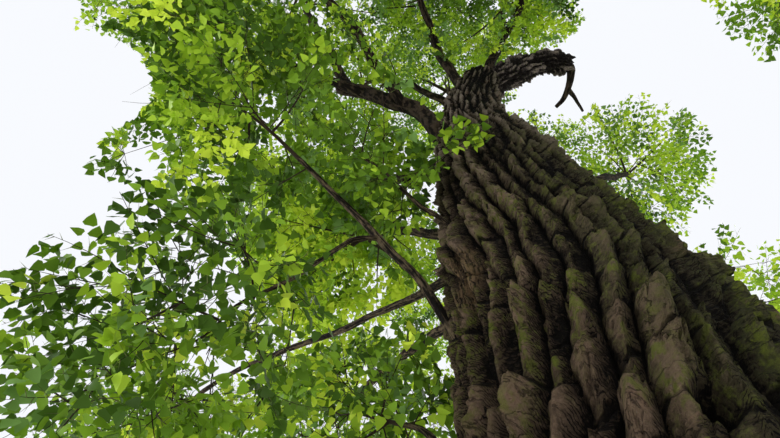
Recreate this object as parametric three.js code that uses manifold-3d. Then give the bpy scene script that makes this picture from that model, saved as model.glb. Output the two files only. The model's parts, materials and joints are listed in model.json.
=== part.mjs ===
// Poplar tree: an old trunk with deep bark ridges, its boughs, and masses of leafy twigs.
// Millimetres, +Z up. The origin is the centre of the flat cut under the trunk.
// Bearings and headings are degrees from +X towards +Y; a rise is degrees above the level.

import * as THREE from 'three';
import Module from 'manifold-3d';

const wasm = await Module();
wasm.setup();
const { Manifold, Mesh: SolidMesh } = wasm;

// Trunk
const TRUNK_RADIUS = 1115;
const TRUNK_TAPER = 0.0652;
const FLARE_TOP = 1300;
const FORK_HEIGHT = 10800;
const TRUNK_TOP = 11420;
const FLARE = 330;
const FLARE_FADE = 420;
const BUTTRESSES = 7;
const BUTTRESS_DEPTH = 0.1;
const BUTTRESS_FADE = 650;
const LEAN_START = 8000;
const LEAN_RATE = 6e-5;
const LEAN_HEADING = -31;
const RIDGES = 16;
const RIDGE_DEPTH = 46;
const RIDGE_TWIST = 9;
const BURL = { height: 7150, bearing: 12, size: 90, spread: 420 };
const BURL_SHARPNESS = 8;
const CREST_SHARES = [0.7, 1.1];
const FLARE_RINGS = 4;
const FLARE_SPACING = 1.5;
const SHAFT_RINGS = 7;
const TOP_RINGS = 3;
const TOP_NARROWING = 0.62;
const TOP_ROUNDNESS = 2.4;

// Boughs
const GAP = 0.3;
const LIMB_SIDES = 6;
const LIMB_STEPS = 5;
const LIMB_INSET = 0.6;
const LIMB_TAPER = 0.85;
const TRUNK_COLLAR = 0.45;
const FORK_COLLAR = 0.1;
const COLLAR_FADE = 14;
const CROOKEDNESS = 0.012;

// Foliage
const TIP_TO_CENTRE = 0.7;
const STEM_THICKNESS = 0.92;
const STEM_TAPER = 0.75;
const STEM_REACH = 0.95;
const STEM_STEPS = 3;
const STEM_SWAY = 0.06;
const STEM_FORKS = [0.5, 0.9];
const CANDIDATES = 14;
const TWIG_REACH = 0.66;
const PATH_WEIGHT = 0.35;
const SPACE_MARGIN = 12;
const TRUNK_CLEARANCE = 70;
const TWIG_CLEARANCE = 45;
const TWIG_FORKS = [0.35, 0.55, 0.75];
const TWIG_THICKNESS = 0.85;
const TWIG_FREE = 0.3;
const LEAF_PLACES = [0.88, 0.66, 0.42];
const LEAF_SPLAY = [0, 0.85, 0.95];
const LEAF_ONWARD = 0.4;
const LEAF_OUTWARD = 0.55;
const LEAF_SIZE = 1.24;
const LEAF_WIDTH = 0.66;
const LEAF_THICKNESS = 0.06;
const LEAF_SHOULDER = 0.38;
const LEAF_TRIES = [1, 1, 0.9, 0.9, 0.78, 0.78, 0.66, 0.66, 0.54, 0.42];
const LEAF_NEARNESS = 0.16;
const LEAF_BARE = 0.3;
const THINNEST_TWIG = 9;
const RANDOM_START = 7919;

const UP = new THREE.Vector3(0, 0, 1);
const ASIDE = new THREE.Vector3(1, 0, 0);

// Each bough leaves its parent at `leave`, arrives at `tip` (bearing, distance out from the
// origin's axis, height) along `arrive`, and tapers between two radii. A bough on the trunk
// starts at a height and bearing, and one on another bough at a fraction of that bough's length.
const LIMBS = [
  { name: 'great_left_bough', height: 8050, bearing: 150, leave: [-118, 60], tip: [190.6, 2116, 10230],
    arrive: [-178, 32], radii: [140, 108] },
  { name: 'great_left_upper', parent: 'great_left_bough', at: 0.93, leave: [-127, 56],
    tip: [207.1, 3314, 12650], arrive: [-129, 61], radii: [92, 62] },
  { name: 'left_bough', parent: 'great_left_bough', at: 0.8, leave: [-165, 12],
    tip: [195.5, 3736, 10900], arrive: [-160, 30], radii: [88, 58] },
  { name: 'front_left_low_bough', parent: 'great_left_bough', at: 0.5, leave: [-128, 12],
    tip: [223.2, 4528, 9900], arrive: [-135, -5], radii: [80, 52] },
  { name: 'low_left_bough', height: 3650, bearing: 160, leave: [-154, 58], tip: [193.8, 2142, 6070],
    arrive: [-157, 46], radii: [42, 24] },
  { name: 'near_left_shoot', parent: 'low_left_bough', at: 0.56, leave: [-165, -6],
    tip: [188.6, 1990, 4180], arrive: [-165, -46], radii: [20, 14] },
  { name: 'side_left_bough', height: 4600, bearing: 196, inset: 0.85, leave: [106, 40],
    tip: [140.5, 5576, 6450], arrive: [122, -1], radii: [36, 27] },
  { name: 'trunk_left_shoot', height: 5150, bearing: 196, inset: 0.8, leave: [198, 45],
    tip: [197.2, 1170, 5750], arrive: [200, 66], radii: [26, 17] },
  { name: 'low_shoot', height: 3150, bearing: 166, inset: 0.8, leave: [158, 40],
    tip: [151.8, 1306, 3930], arrive: [140, 32], radii: [30, 18] },
  { name: 'fork_left_leader', height: 10750, bearing: 118, inset: 0.45, leave: [-136, 58],
    tip: [256.3, 1431, 15030], arrive: [-103, 72], radii: [104, 64] },
  { name: 'front_left_bough', parent: 'fork_left_leader', at: 0.4, leave: [-112, 32],
    tip: [251.6, 3795, 12900], arrive: [-108, 2], radii: [78, 52] },
  { name: 'front_low_bough', parent: 'front_left_bough', at: 0.7, leave: [-80, -14],
    tip: [267.7, 4904, 11100], arrive: [-62, -40], radii: [56, 40] },
  { name: 'fork_middle_leader', height: 11050, bearing: 45, inset: 0.4, leave: [-66, 57],
    tip: [-45, 1838, 13600], arrive: [-75, 62], radii: [112, 70] },
  { name: 'front_right_bough', parent: 'fork_middle_leader', at: 0.62, leave: [-50, 26],
    tip: [-54, 4080, 12950], arrive: [-58, -6], radii: [80, 52] },
  { name: 'right_bough', parent: 'front_right_bough', at: 0.6, leave: [-22, 0],
    tip: [-29, 5374, 10900], arrive: [-15, -42], radii: [60, 42] },
  { name: 'dead_limb', height: 10980, bearing: 20, inset: 0.3, leave: [-20, 36],
    tip: [-12.4, 2460, 11990], arrive: [12, -8], radii: [262, 205], collar: 0.1 },
  { name: 'dead_crook', parent: 'dead_limb', at: 0.95, leave: [0, -10], tip: [8, 2250, 11870],
    arrive: [150, -10], radii: [104, 38] },
  { name: 'dead_prong', parent: 'dead_crook', at: 0.6, leave: [40, 8], tip: [8.7, 2903, 12060],
    arrive: [50, 14], radii: [52, 26] },
  { name: 'back_leader', height: 10850, bearing: 80, inset: 0.45, leave: [82, 66],
    tip: [59, 1166, 16400], arrive: [110, 84], radii: [200, 96] },
  { name: 'top_back_bough', parent: 'back_leader', at: 0.4, leave: [52, 34],
    tip: [50.2, 3124, 14600], arrive: [56, 22], radii: [92, 58] },
  { name: 'back_bough', height: 7250, bearing: 86, leave: [86, 44], tip: [80.5, 3650, 10600],
    arrive: [85, 50], radii: [132, 74] },
  { name: 'back_left_bough', height: 8450, bearing: 138, leave: [126, 44], tip: [136.3, 3041, 11400],
    arrive: [135, 45], radii: [112, 66] },
  { name: 'low_back_left_bough', height: 5000, bearing: 128, leave: [120, 38],
    tip: [116.6, 3801, 6900], arrive: [110, 25], radii: [62, 42] },
  { name: 'low_back_bough', height: 5500, bearing: 78, leave: [80, 30], tip: [77, 4002, 7000],
    arrive: [78, 20], radii: [90, 52] },
  { name: 'mid_left_bough', height: 6000, bearing: 150, leave: [140, 34], tip: [140.5, 1840, 7750],
    arrive: [134, 32], radii: [70, 46] },
  { name: 'upper_back_left_bough', parent: 'back_leader', at: 0.3, leave: [168, 34],
    tip: [168.2, 1124, 14140], arrive: [160, 36], radii: [96, 60] },
  { name: 'right_back_bough', height: 6650, bearing: 22, leave: [12, 42], tip: [21.5, 3547, 10500],
    arrive: [42, 58], radii: [58, 40] },
  { name: 'right_back_low_bough', height: 6100, bearing: 50, leave: [44, 32],
    tip: [37.1, 4140, 7500], arrive: [38, 20], radii: [106, 58] },
  { name: 'right_low_bough', height: 3950, bearing: 24, leave: [22, 17], tip: [2.9, 3905, 5400],
    arrive: [-12, 25], radii: [104, 56] },
];

// Each mass grows on from its bough's tip: half its length, half its width, and its twigs
const MASSES = [
  { name: 'near_left', bough: 'near_left_shoot', long: 900, wide: 850, twigs: 5 },
  { name: 'low_left', bough: 'low_left_bough', long: 2000, wide: 1350, twigs: 6 },
  { name: 'trunk_left', bough: 'trunk_left_shoot', long: 1250, wide: 880, twigs: 5 },
  { name: 'inner_left', bough: 'low_shoot', long: 850, wide: 700, twigs: 4 },
  { name: 'side_left', bough: 'side_left_bough', long: 1800, wide: 1600, twigs: 5 },
  { name: 'left', bough: 'left_bough', long: 2300, wide: 2050, twigs: 6 },
  { name: 'upper_left', bough: 'great_left_upper', long: 2600, wide: 2400, twigs: 6 },
  { name: 'front_left_low', bough: 'front_left_low_bough', long: 2500, wide: 2350, twigs: 5 },
  { name: 'top_left', bough: 'fork_left_leader', long: 2500, wide: 2250, twigs: 6 },
  { name: 'front_left', bough: 'front_left_bough', long: 2600, wide: 2400, twigs: 6 },
  { name: 'front_low', bough: 'front_low_bough', long: 2400, wide: 2200, twigs: 5 },
  { name: 'top_front', bough: 'fork_middle_leader', long: 2350, wide: 2150, twigs: 6 },
  { name: 'front_right', bough: 'front_right_bough', long: 2600, wide: 2400, twigs: 6 },
  { name: 'right', bough: 'right_bough', long: 2300, wide: 2100, twigs: 5 },
  { name: 'top', bough: 'back_leader', long: 2700, wide: 2500, twigs: 6 },
  { name: 'top_back', bough: 'top_back_bough', long: 2600, wide: 2450, twigs: 6 },
  { name: 'back', bough: 'back_bough', long: 2600, wide: 2400, twigs: 6 },
  { name: 'back_left', bough: 'back_left_bough', long: 2500, wide: 2350, twigs: 6 },
  { name: 'low_back_left', bough: 'low_back_left_bough', long: 2300, wide: 2100, twigs: 6 },
  { name: 'low_back', bough: 'low_back_bough', long: 2200, wide: 2050, twigs: 5 },
  { name: 'mid_left', bough: 'mid_left_bough', long: 1700, wide: 1600, twigs: 5 },
  { name: 'upper_back_left', bough: 'upper_back_left_bough', long: 2400, wide: 2200, twigs: 6 },
  { name: 'right_back', bough: 'right_back_bough', long: 2000, wide: 1750, twigs: 6 },
  { name: 'right_back_low', bough: 'right_back_low_bough', long: 2200, wide: 2050, twigs: 5 },
  { name: 'right_low', bough: 'right_low_bough', long: 2100, wide: 1950, twigs: 5 },
];

// Seeded numbers from 0 to 1, the same on every run
class Dice {
  constructor(seed) {
    this.state = seed;
    for (let warm = 0; warm < 5; warm++) this.next();
  }

  next() {
    this.state = (this.state * 1664525 + 1013904223) % 4294967296;
    return this.state / 4294967296;
  }

  between(low, high) {
    return low + (high - low) * this.next();
  }
}

function strayWay(dice) {
  return new THREE.Vector3(dice.between(-1, 1), dice.between(-1, 1), dice.between(-1, 1));
}

const radians = THREE.MathUtils.degToRad;

function direction(heading, rise) {
  const level = Math.cos(radians(rise));
  return new THREE.Vector3(
    level * Math.cos(radians(heading)), level * Math.sin(radians(heading)), Math.sin(radians(rise)));
}

function polar([bearing, out, height]) {
  return direction(bearing, 0).multiplyScalar(out).setZ(height);
}

// Closed solid through a row of rings, each ring's points in order, with a fan on both ends
function loft(rings) {
  const sides = rings[0].length;
  const corners = rings.flat();
  const index = [];
  for (let ring = 0; ring + 1 < rings.length; ring++) {
    for (let side = 0; side < sides; side++) {
      const next = (side + 1) % sides;
      const [a, b, c, d] = [ring * sides + side, ring * sides + next,
        (ring + 1) * sides + next, (ring + 1) * sides + side];
      index.push(a, b, c, a, c, d);
    }
  }
  for (const [ring, flip] of [[0, true], [rings.length - 1, false]]) {
    const middle = corners.length;
    const sum = new THREE.Vector3();
    rings[ring].forEach((corner) => sum.add(corner));
    corners.push(sum.divideScalar(sides));
    for (let side = 0; side < sides; side++) {
      const [a, b] = [ring * sides + side, ring * sides + (side + 1) % sides];
      index.push(...(flip ? [middle, b, a] : [middle, a, b]));
    }
  }
  return geometryOf(corners, index);
}

function geometryOf(corners, index) {
  const geometry = new THREE.BufferGeometry();
  geometry.setAttribute('position',
    new THREE.Float32BufferAttribute(corners.flatMap((corner) => corner.toArray()), 3));
  geometry.setIndex(index);
  return geometry;
}

function solidOf(geometry) {
  return new Manifold(new SolidMesh({
    numProp: 3,
    vertProperties: new Float32Array(geometry.attributes.position.array),
    triVerts: new Uint32Array(geometry.index.array),
  }));
}

function largestBody(solid) {
  const bodies = solid.decompose();
  return bodies.reduce((best, body) => (body.volume() > best.volume() ? body : best));
}

// Trunk: its axis, its radius, and the ridges of its bark
function trunkAxis(height) {
  const lean = LEAN_RATE * Math.max(0, height - LEAN_START) ** 2;
  return direction(LEAN_HEADING, 0).multiplyScalar(lean).setZ(height);
}

function trunkRadius(height) {
  const flare = FLARE * Math.exp(-height / FLARE_FADE);
  return TRUNK_RADIUS - TRUNK_TAPER * height + flare;
}

function burl(bearing, height) {
  const around = Math.cos(radians(bearing - BURL.bearing));
  const along = (height - BURL.height) / BURL.spread;
  return around > 0 ? BURL.size * around ** BURL_SHARPNESS * Math.exp(-along * along) : 0;
}

function trunkRing(height, shrink, extra) {
  const dice = new Dice(RANDOM_START + Math.round(height));
  const axis = trunkAxis(height);
  const radius = trunkRadius(height);
  const depth = RIDGE_DEPTH * Math.sqrt(radius / TRUNK_RADIUS);
  const ring = [];
  for (let side = 0; side < 2 * RIDGES; side++) {
    const bearing = 180 * side / RIDGES + RIDGE_TWIST * height / FORK_HEIGHT;
    const buttress = BUTTRESS_DEPTH * Math.exp(-height / BUTTRESS_FADE)
      * Math.cos(radians(BUTTRESSES * bearing));
    const ridge = depth * (side % 2 ? -1 : dice.between(...CREST_SHARES));
    const out = (radius * (1 + buttress) + ridge + burl(bearing, height)) * shrink + extra;
    ring.push(direction(bearing, 0).multiplyScalar(out).add(axis));
  }
  return ring;
}

function trunkGeometry(extra) {
  const rings = [];
  for (let ring = 0; ring < FLARE_RINGS; ring++) {
    rings.push(trunkRing(FLARE_TOP * (ring / FLARE_RINGS) ** FLARE_SPACING, 1, extra));
  }
  for (let ring = 0; ring <= SHAFT_RINGS; ring++) {
    rings.push(trunkRing(FLARE_TOP + (FORK_HEIGHT - FLARE_TOP) * ring / SHAFT_RINGS, 1, extra));
  }
  for (let ring = 1; ring <= TOP_RINGS; ring++) {
    const part = ring / TOP_RINGS;
    const narrow = 1 - TOP_NARROWING * part ** TOP_ROUNDNESS;
    rings.push(trunkRing(FORK_HEIGHT + (TRUNK_TOP - FORK_HEIGHT) * part, narrow, extra));
  }
  return loft(rings);
}

// Boughs: a bent line from the parent to the tip, with a little crookedness
function limbStart(row, done) {
  if (row.parent) return done[row.parent].line.getPoint(row.at);
  const inset = (row.inset ?? LIMB_INSET) * trunkRadius(row.height);
  return direction(row.bearing, 0).multiplyScalar(inset).add(trunkAxis(row.height));
}

function limbLine(row, start, seed) {
  const dice = new Dice(seed);
  const tip = polar(row.tip);
  const pull = start.distanceTo(tip) / 3;
  const bend = new THREE.CubicBezierCurve3(start,
    start.clone().addScaledVector(direction(...row.leave), pull),
    tip.clone().addScaledVector(direction(...row.arrive), -pull), tip);
  const sway = 3 * pull * CROOKEDNESS;
  const points = [];
  for (let step = 0; step <= LIMB_STEPS; step++) {
    const point = bend.getPoint(step / LIMB_STEPS);
    const shift = strayWay(dice);
    if (step > 1 && step < LIMB_STEPS - 1) point.addScaledVector(shift, sway);
    points.push(point);
  }
  return new THREE.CatmullRomCurve3(points);
}

function limbRadius(row, part) {
  const [root, tip] = row.radii;
  const swell = row.collar ?? (row.parent ? FORK_COLLAR : TRUNK_COLLAR);
  const collar = 1 + swell * Math.exp(-part * COLLAR_FADE);
  return (root + (tip - root) * part ** LIMB_TAPER) * collar;
}

function limbGeometry(limb, extra) {
  const { line, row } = limb;
  const { tangents, normals, binormals } = line.computeFrenetFrames(LIMB_STEPS, false);
  const rings = [];
  for (let step = 0; step <= LIMB_STEPS; step++) {
    const part = step / LIMB_STEPS;
    const centre = line.getPoint(part);
    if (step === 0) centre.addScaledVector(tangents[step], -extra);
    if (step === LIMB_STEPS) centre.addScaledVector(tangents[step], extra);
    const radius = limbRadius(row, part) + extra;
    const ring = [];
    for (let side = 0; side < LIMB_SIDES; side++) {
      const turn = 2 * Math.PI * side / LIMB_SIDES;
      ring.push(centre.clone().addScaledVector(normals[step], radius * Math.cos(turn))
        .addScaledVector(binormals[step], radius * Math.sin(turn)));
    }
    rings.push(ring);
  }
  return loft(rings);
}

function limbTip(limb) {
  const { line } = limb;
  return { at: line.getPoint(1), along: line.getTangent(1) };
}

function buildLimbs(trunkClear) {
  const done = {};
  const clear = [trunkClear];
  LIMBS.forEach((row, order) => {
    const line = limbLine(row, limbStart(row, done), RANDOM_START * (order + 2));
    const limb = { row, line };
    const whole = solidOf(limbGeometry(limb, 0));
    limb.solid = largestBody(clear.reduce((rest, cut) => rest.subtract(cut), whole));
    clear.push(solidOf(limbGeometry(limb, GAP)));
    done[row.name] = limb;
  });
  return done;
}

// Spaces: an ellipsoid along the stem, cut off from its neighbours by planes between them
function buildSpaces(limbs) {
  const spaces = MASSES.map((row) => {
    const { at, along } = limbTip(limbs[row.bough]);
    return {
      row, at, along,
      centre: at.clone().addScaledVector(along, TIP_TO_CENTRE * row.long),
      mean: (row.long + 2 * row.wide) / 3,
      walls: [],
    };
  });
  for (const space of spaces) {
    for (const other of spaces) {
      const apart = space.centre.distanceTo(other.centre);
      if (other === space || apart > space.row.long + other.row.long) continue;
      const toward = other.centre.clone().sub(space.centre).normalize();
      const reach = (apart ** 2 + space.mean ** 2 - other.mean ** 2) / (2 * apart);
      space.walls.push({ toward, reach: reach - SPACE_MARGIN });
    }
  }
  return spaces;
}

function inSpace(space, point, scale = 1) {
  const offset = point.clone().sub(space.centre);
  const lengthwise = offset.dot(space.along);
  const across = offset.lengthSq() - lengthwise ** 2;
  const { long, wide } = space.row;
  if ((lengthwise / long) ** 2 + across / wide ** 2 > scale ** 2) return false;
  if (space.walls.some((wall) => offset.dot(wall.toward) > wall.reach * (wall.reach > 0 ? scale : 1))) {
    return false;
  }
  const axis = trunkAxis(Math.min(point.z, TRUNK_TOP));
  const beyond = Math.max(0, point.z - TRUNK_TOP);
  const away = Math.hypot(point.x - axis.x, point.y - axis.y, beyond);
  return away > trunkRadius(Math.min(point.z, TRUNK_TOP)) + TRUNK_CLEARANCE;
}

function randomInside(space, dice) {
  const { long } = space.row;
  for (;;) {
    const point = strayWay(dice).multiplyScalar(long).add(space.centre);
    if (inSpace(space, point, TWIG_REACH)) return point;
  }
}

// Twig tips, each the farthest from the others among a few tries, nearest the stem first
function twigTips(space, dice) {
  const tips = [];
  for (let twig = 0; twig < space.row.twigs; twig++) {
    let best = null;
    let bestAway = -1;
    for (let candidate = 0; candidate < CANDIDATES; candidate++) {
      const point = randomInside(space, dice);
      const away = tips.reduce((least, tip) => Math.min(least, tip.distanceTo(point)), Infinity);
      if (away > bestAway) [best, bestAway] = [point, away];
    }
    tips.push(best);
  }
  return tips.sort((one, two) => one.distanceTo(space.at) - two.distanceTo(space.at));
}

// Shortest distance between two straight stretches
function stretchDistance(a, b, c, d) {
  const u = b.clone().sub(a);
  const v = d.clone().sub(c);
  const w = a.clone().sub(c);
  const [uu, uv, vv, uw, vw] = [u.dot(u), u.dot(v), v.dot(v), u.dot(w), v.dot(w)];
  const clamp = (value) => Math.min(1, Math.max(0, value));
  const cross = uu * vv - uv * uv;
  let s = cross > 1e-6 * uu * vv ? clamp((uv * vw - vv * uw) / cross) : 0;
  const t = clamp((uv * s + vw) / vv);
  s = clamp((uv * t - uw) / uu);
  return w.addScaledVector(u, s).addScaledVector(v, -t).length();
}

function touchesLimb(from, to, clearance, limbs) {
  return Object.values(limbs).some(({ line, row }) => {
    for (let step = 0; step < LIMB_STEPS; step++) {
      const [start, end] = [line.getPoint(step / LIMB_STEPS), line.getPoint((step + 1) / LIMB_STEPS)];
      const radius = limbRadius(row, step / LIMB_STEPS);
      if (stretchDistance(from, to, start, end) < radius + clearance) return true;
    }
    return false;
  });
}

// A leaf spray's corners: root, two shoulders, tip, and a point over and under the shoulders
function leafCorners(root, along, side, length) {
  const face = along.clone().cross(side);
  const middle = root.clone().addScaledVector(along, LEAF_SHOULDER * length);
  const half = LEAF_WIDTH * length / 2;
  const thick = LEAF_THICKNESS * length / 2;
  return [root, middle.clone().addScaledVector(side, half),
    root.clone().addScaledVector(along, length), middle.clone().addScaledVector(side, -half),
    middle.clone().addScaledVector(face, thick), middle.clone().addScaledVector(face, -thick)];
}

function leafSolid(corners) {
  const index = [];
  for (let side = 0; side < 4; side++) {
    const next = (side + 1) % 4;
    index.push(next, side, 4, side, next, 5);
  }
  return solidOf(geometryOf(corners, index));
}

function triangleRing(centre, along, radius) {
  const side = new THREE.Vector3().crossVectors(along, Math.abs(along.z) < 0.9 ? UP : ASIDE).normalize();
  const other = along.clone().cross(side);
  return [0, 1, 2].map((corner) => {
    const turn = 2 * Math.PI * corner / 3;
    return centre.clone().addScaledVector(side, radius * Math.cos(turn))
      .addScaledVector(other, radius * Math.sin(turn));
  });
}

// A three-sided twig from inside its parent to a point
function twigSolid({ from, to, radius }) {
  const along = to.clone().sub(from).normalize();
  const corners = [...triangleRing(from, along, radius), to];
  return solidOf(geometryOf(corners, [0, 2, 1, 0, 1, 3, 1, 2, 3, 2, 0, 3]));
}

// The stem goes on from the bough's tip, and twigs fork from the ends of its steps
function growStem(space, dice, radius) {
  const start = space.at.clone().addScaledVector(space.along, GAP);
  const stem = [{ at: start, radius, path: 0 }];
  for (let step = 1; step <= STEM_STEPS; step++) {
    const path = STEM_REACH * space.row.long * step / STEM_STEPS;
    const at = start.clone().addScaledVector(space.along, path);
    if (step > 1) at.addScaledVector(strayWay(dice), STEM_SWAY * space.row.long);
    stem.push({ at, radius: radius * (1 - STEM_TAPER * step / STEM_STEPS), path });
  }
  return stem;
}

function stemSolid(space, stem) {
  return solidOf(loft(stem.map((node) => triangleRing(node.at, space.along, node.radius))));
}

// The forks where a new twig may start: along the stem, and along the twigs already grown
function forksOf(stem, twigs) {
  const forks = [];
  for (let step = 0; step + 1 < stem.length; step++) {
    for (const part of STEM_FORKS) {
      const [low, high] = [stem[step], stem[step + 1]];
      forks.push({
        at: low.at.clone().lerp(high.at, part),
        radius: low.radius + (high.radius - low.radius) * part,
        path: low.path + (high.path - low.path) * part,
      });
    }
  }
  for (const twig of twigs) {
    for (const part of TWIG_FORKS) {
      forks.push({
        at: twig.from.clone().lerp(twig.to, part),
        radius: twig.radius * (1 - part),
        path: twig.path + twig.from.distanceTo(twig.to) * part,
      });
    }
  }
  return forks;
}

function nearestFork(forks, place) {
  const cost = (fork) => fork.at.distanceTo(place) + PATH_WEIGHT * fork.path;
  return forks.reduce((best, fork) => (cost(fork) < cost(best) ? fork : best));
}

// Whether two leaves come near each other, told by their middle lines
function crossesLeaf(root, tip, length, leaves) {
  return leaves.some((other) => {
    const near = LEAF_NEARNESS * (length + other[0].distanceTo(other[2]));
    const start = other[0].clone().lerp(other[2], LEAF_BARE);
    return stretchDistance(root.clone().lerp(tip, LEAF_BARE), tip, start, other[2]) < near;
  });
}

// The longest leaf that stays in the space and clear of limbs and leaves, splayed from its twig
function fitLeaf(space, twig, order, size, dice, limbs, leaves) {
  const way = twig.to.clone().sub(twig.from).normalize();
  const root = twig.from.clone().lerp(twig.to, LEAF_PLACES[order]);
  const outward = root.clone().sub(space.centre).normalize();
  for (const share of LEAF_TRIES) {
    const splay = strayWay(dice).cross(way).normalize();
    const along = way.clone().multiplyScalar(1 - LEAF_ONWARD * LEAF_SPLAY[order])
      .addScaledVector(splay, LEAF_SPLAY[order])
      .addScaledVector(outward, LEAF_OUTWARD * LEAF_SPLAY[order]).normalize();
    const side = along.clone().cross(strayWay(dice)).normalize();
    const length = size * share;
    const corners = leafCorners(root, along, side, length);
    const clearance = LEAF_WIDTH * length / 2 + TWIG_CLEARANCE;
    if (!corners.every((corner) => inSpace(space, corner))) continue;
    if (crossesLeaf(root, corners[2], length, leaves)) continue;
    if (!touchesLimb(root, corners[2], clearance, limbs)) return corners;
  }
  return null;
}

// One mass: a stem from the bough's tip, its twigs, and the leaves, all fused
function growMass(space, order, limbs) {
  const dice = new Dice(RANDOM_START * (order + 101));
  const { long, wide, twigs: count } = space.row;
  const stem = growStem(space, dice, STEM_THICKNESS * limbs[space.row.bough].row.radii[1]);
  const room = 4 / 3 * Math.PI * long * wide * wide / (count * LEAF_PLACES.length);
  const size = LEAF_SIZE * Math.cbrt(room);
  const twigs = [];
  const leaves = [];
  for (const place of twigTips(space, dice)) {
    const fork = nearestFork(forksOf(stem, twigs), place);
    const radius = Math.max(THINNEST_TWIG, TWIG_THICKNESS * fork.radius);
    const twig = { from: fork.at, to: place, path: fork.path, radius };
    const start = twig.from.clone().lerp(place, TWIG_FREE);
    if (touchesLimb(start, place, TWIG_CLEARANCE, limbs)) continue;
    twigs.push(twig);
    LEAF_PLACES.forEach((_, leaf) => {
      const corners = fitLeaf(space, twig, leaf, size, dice, limbs, leaves);
      if (corners) leaves.push(corners);
    });
  }
  const solids = [stemSolid(space, stem), ...twigs.map(twigSolid), ...leaves.map(leafSolid)];
  return largestBody(Manifold.union(solids));
}

// Finishes: each mesh has a material of its own
const FINISHES = {
  trunk: { color: 0x5a4a41, roughness: 0.95, metalness: 0 },
  bough: { color: 0x4d4138, roughness: 0.9, metalness: 0 },
  dead: { color: 0x8d7d70, roughness: 0.95, metalness: 0 },
  foliage: { color: 0x6f9a30, roughness: 0.6, metalness: 0 },
};

function meshOf(name, solid, finish) {
  const { vertProperties, triVerts } = solid.getMesh();
  const geometry = new THREE.BufferGeometry();
  geometry.setAttribute('position', new THREE.Float32BufferAttribute(vertProperties, 3));
  geometry.setIndex(Array.from(triVerts));
  geometry.computeVertexNormals();
  const mesh = new THREE.Mesh(geometry, new THREE.MeshStandardMaterial(FINISHES[finish]));
  mesh.name = name;
  return mesh;
}

const tree = new THREE.Group();
tree.name = 'poplar';
tree.add(meshOf('trunk', solidOf(trunkGeometry(0)), 'trunk'));

const limbs = buildLimbs(solidOf(trunkGeometry(GAP)));
for (const { row, solid } of Object.values(limbs)) {
  tree.add(meshOf(row.name, solid, row.name.startsWith('dead') ? 'dead' : 'bough'));
}

buildSpaces(limbs).forEach((space, order) => {
  tree.add(meshOf(`${space.row.name}_foliage`, growMass(space, order, limbs), 'foliage'));
});

export default tree;
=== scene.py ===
import functools
import json
import math
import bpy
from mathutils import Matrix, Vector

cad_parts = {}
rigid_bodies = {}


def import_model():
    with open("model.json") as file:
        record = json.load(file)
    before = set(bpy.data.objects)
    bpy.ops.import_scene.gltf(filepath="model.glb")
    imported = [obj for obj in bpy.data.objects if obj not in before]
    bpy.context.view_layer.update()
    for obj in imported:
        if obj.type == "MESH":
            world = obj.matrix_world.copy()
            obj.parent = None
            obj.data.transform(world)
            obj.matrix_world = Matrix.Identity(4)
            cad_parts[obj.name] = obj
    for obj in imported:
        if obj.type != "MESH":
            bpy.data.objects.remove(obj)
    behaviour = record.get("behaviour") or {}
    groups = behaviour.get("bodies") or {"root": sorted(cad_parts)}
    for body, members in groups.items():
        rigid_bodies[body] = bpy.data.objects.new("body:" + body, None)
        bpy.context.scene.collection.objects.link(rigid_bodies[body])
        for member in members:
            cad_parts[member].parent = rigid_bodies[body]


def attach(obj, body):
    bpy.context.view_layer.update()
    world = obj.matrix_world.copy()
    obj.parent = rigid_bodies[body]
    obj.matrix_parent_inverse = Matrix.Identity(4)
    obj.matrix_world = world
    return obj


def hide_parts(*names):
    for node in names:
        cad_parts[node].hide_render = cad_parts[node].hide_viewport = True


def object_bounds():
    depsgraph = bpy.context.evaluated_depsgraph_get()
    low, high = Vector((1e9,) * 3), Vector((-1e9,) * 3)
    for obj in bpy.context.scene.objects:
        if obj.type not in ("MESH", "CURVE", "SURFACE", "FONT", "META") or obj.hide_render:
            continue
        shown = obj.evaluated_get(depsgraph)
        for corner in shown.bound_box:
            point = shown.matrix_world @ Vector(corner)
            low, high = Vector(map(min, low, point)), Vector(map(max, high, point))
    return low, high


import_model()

from types import SimpleNamespace

import bpy
import numpy as np
from bpy.props import FloatProperty, FloatVectorProperty, IntProperty, PointerProperty
from bpy.types import Operator, Panel, PropertyGroup

bl_info = {
    "name": "Poplar Tree",
    "version": (1, 0, 0),
    "blender": (4, 5, 0),
    "location": "View3D > Sidebar > Poplar",
    "description": "Grows an old poplar's bark, boughs, twigs and leaves over its solids",
    "category": "Object",
}

# Metres, +Z up. Bearings and headings are degrees from +X towards +Y, rises degrees above level.
CAD_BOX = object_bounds()
BODY = "root"
UP = np.array([0.0, 0.0, 1.0])
ASIDE = np.array([1.0, 0.0, 0.0])
MOST_TRIANGLES = 190000

# A way whose share of UP is above this takes its sides from ASIDE
UPRIGHT = 0.9

# Seeded numbers: the start of every seed, the solids' own rule, and the rule for whole numbers
RANDOM_START = 7919
LIMB_SEEDS = 2
MASS_SEEDS = 101
DICE_FACTOR = 1664525
DICE_STEP = 1013904223
DICE_RANGE = 4294967296
DICE_WARMING = 5
HASH_FACTOR = 2654435761
HASH_BITS = 0xFFFFFFFF
HASH_SHARE = 0xFFFFFF

# Trunk, as in the solids
TRUNK_RADIUS = 1.115
TRUNK_TAPER = 0.0652
FORK_HEIGHT = 10.8
TRUNK_TOP = 11.42
FLARE = 0.33
FLARE_FADE = 0.42
BUTTRESSES = 7
BUTTRESS_DEPTH = 0.1
BUTTRESS_FADE = 0.65
LEAN_START = 8.0
LEAN_RATE = 0.06
LEAN_HEADING = -31
BURL = {"height": 7.15, "bearing": 12, "size": 0.09, "spread": 0.42}
BURL_SHARPNESS = 8
TOP_NARROWING = 0.62
TOP_ROUNDNESS = 2.4

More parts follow.
